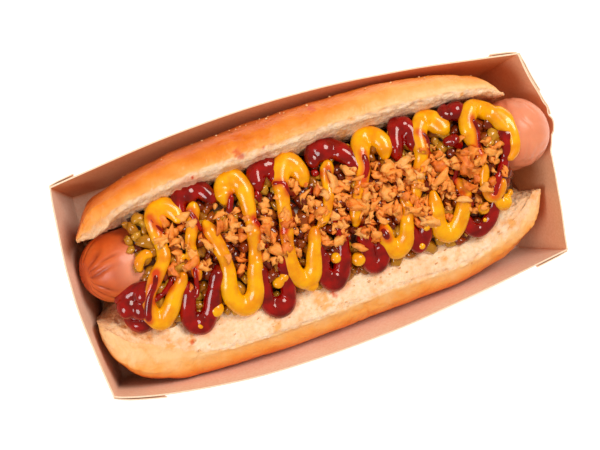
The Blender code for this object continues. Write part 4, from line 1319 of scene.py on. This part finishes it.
def build_sauces(ground):
    """The lines of ketchup, the mustard over them, and the thin ketchup drips over both."""
    ketchup = sauce_material(
        "tomato_ketchup", ("#6C0201", "#A00501"), roughness=0.12, soft=0, radius=(1, 0.15, 0.05),
    )
    mustard = sauce_material(
        "yellow_mustard", ("#EE9A00", "#FDBC00"), roughness=0.24, soft=0.1, radius=(1, 0.6, 0.1),
    )
    beads = lay_beads(KETCHUP, ground, seed=41, rise=0.3, room=3.6)
    add_drops(beads, KETCHUP_DROPS, ground, rise=-0.05)
    new_sauce("ketchup_beads", beads, ketchup, SAUCE_VOXEL)
    beads = lay_beads(MUSTARD, ground, seed=43, rise=0.3, room=4.2)
    add_drops(beads, MUSTARD_DROPS, ground, rise=0.3)
    piece = new_sauce("mustard_beads", beads, mustard, SAUCE_VOXEL)
    places, _ = vertex_places(piece.data)
    # besides the ketchup run over it, the mustard is tinted darker orange towards the middle of the heap
    middle = 0.35 * (1 - smooth_step(4, 15, np.abs(places[:, 1] - 1))) * (0.5 + noise_at(places, 5, 2, 51))
    run_over = sauce_edge(places, plan_pairs(KETCHUP_DRIPS, share=0.7), 0.85)
    set_mark(piece.data, "stain", np.clip(run_over + middle, 0, 1))
    drips = lay_beads(KETCHUP_DRIPS, ground, seed=47, rise=0, room=4.9)
    new_sauce("ketchup_drips", drips, ketchup, DRIP_VOXEL)


def main():
    rng = random.Random(SEED)
    card = [card_material(), cut_card_material()]
    build_tray(card)
    build_webs(card)
    paths = {"mustard": plan_pairs(MUSTARD, SIGHT_LEVEL), "ketchup": plan_pairs(KETCHUP, SIGHT_LEVEL)}
    bun = build_bun(bread_material(), paths)
    sausage = build_sausage(sausage_material())
    syrup = build_syrup(syrup_material())
    ground = Ground([bun, sausage, syrup])
    scatter_bits("relish_chunks", RELISH, relish_material(), ground, rng, relish_spot, relish_tone)
    build_sauces(ground)
    outside_mustard = bead_distance(plan_pairs(MUSTARD))
    scatter_bits(
        "fried_onion", ONION, onion_material(), ground, rng,
        lambda draws: onion_spot(draws, outside_mustard), onion_tone,
    )
    add_crumbs(crumb_material(), ground, rng)
    add_stage_and_light()
    add_camera()


main()
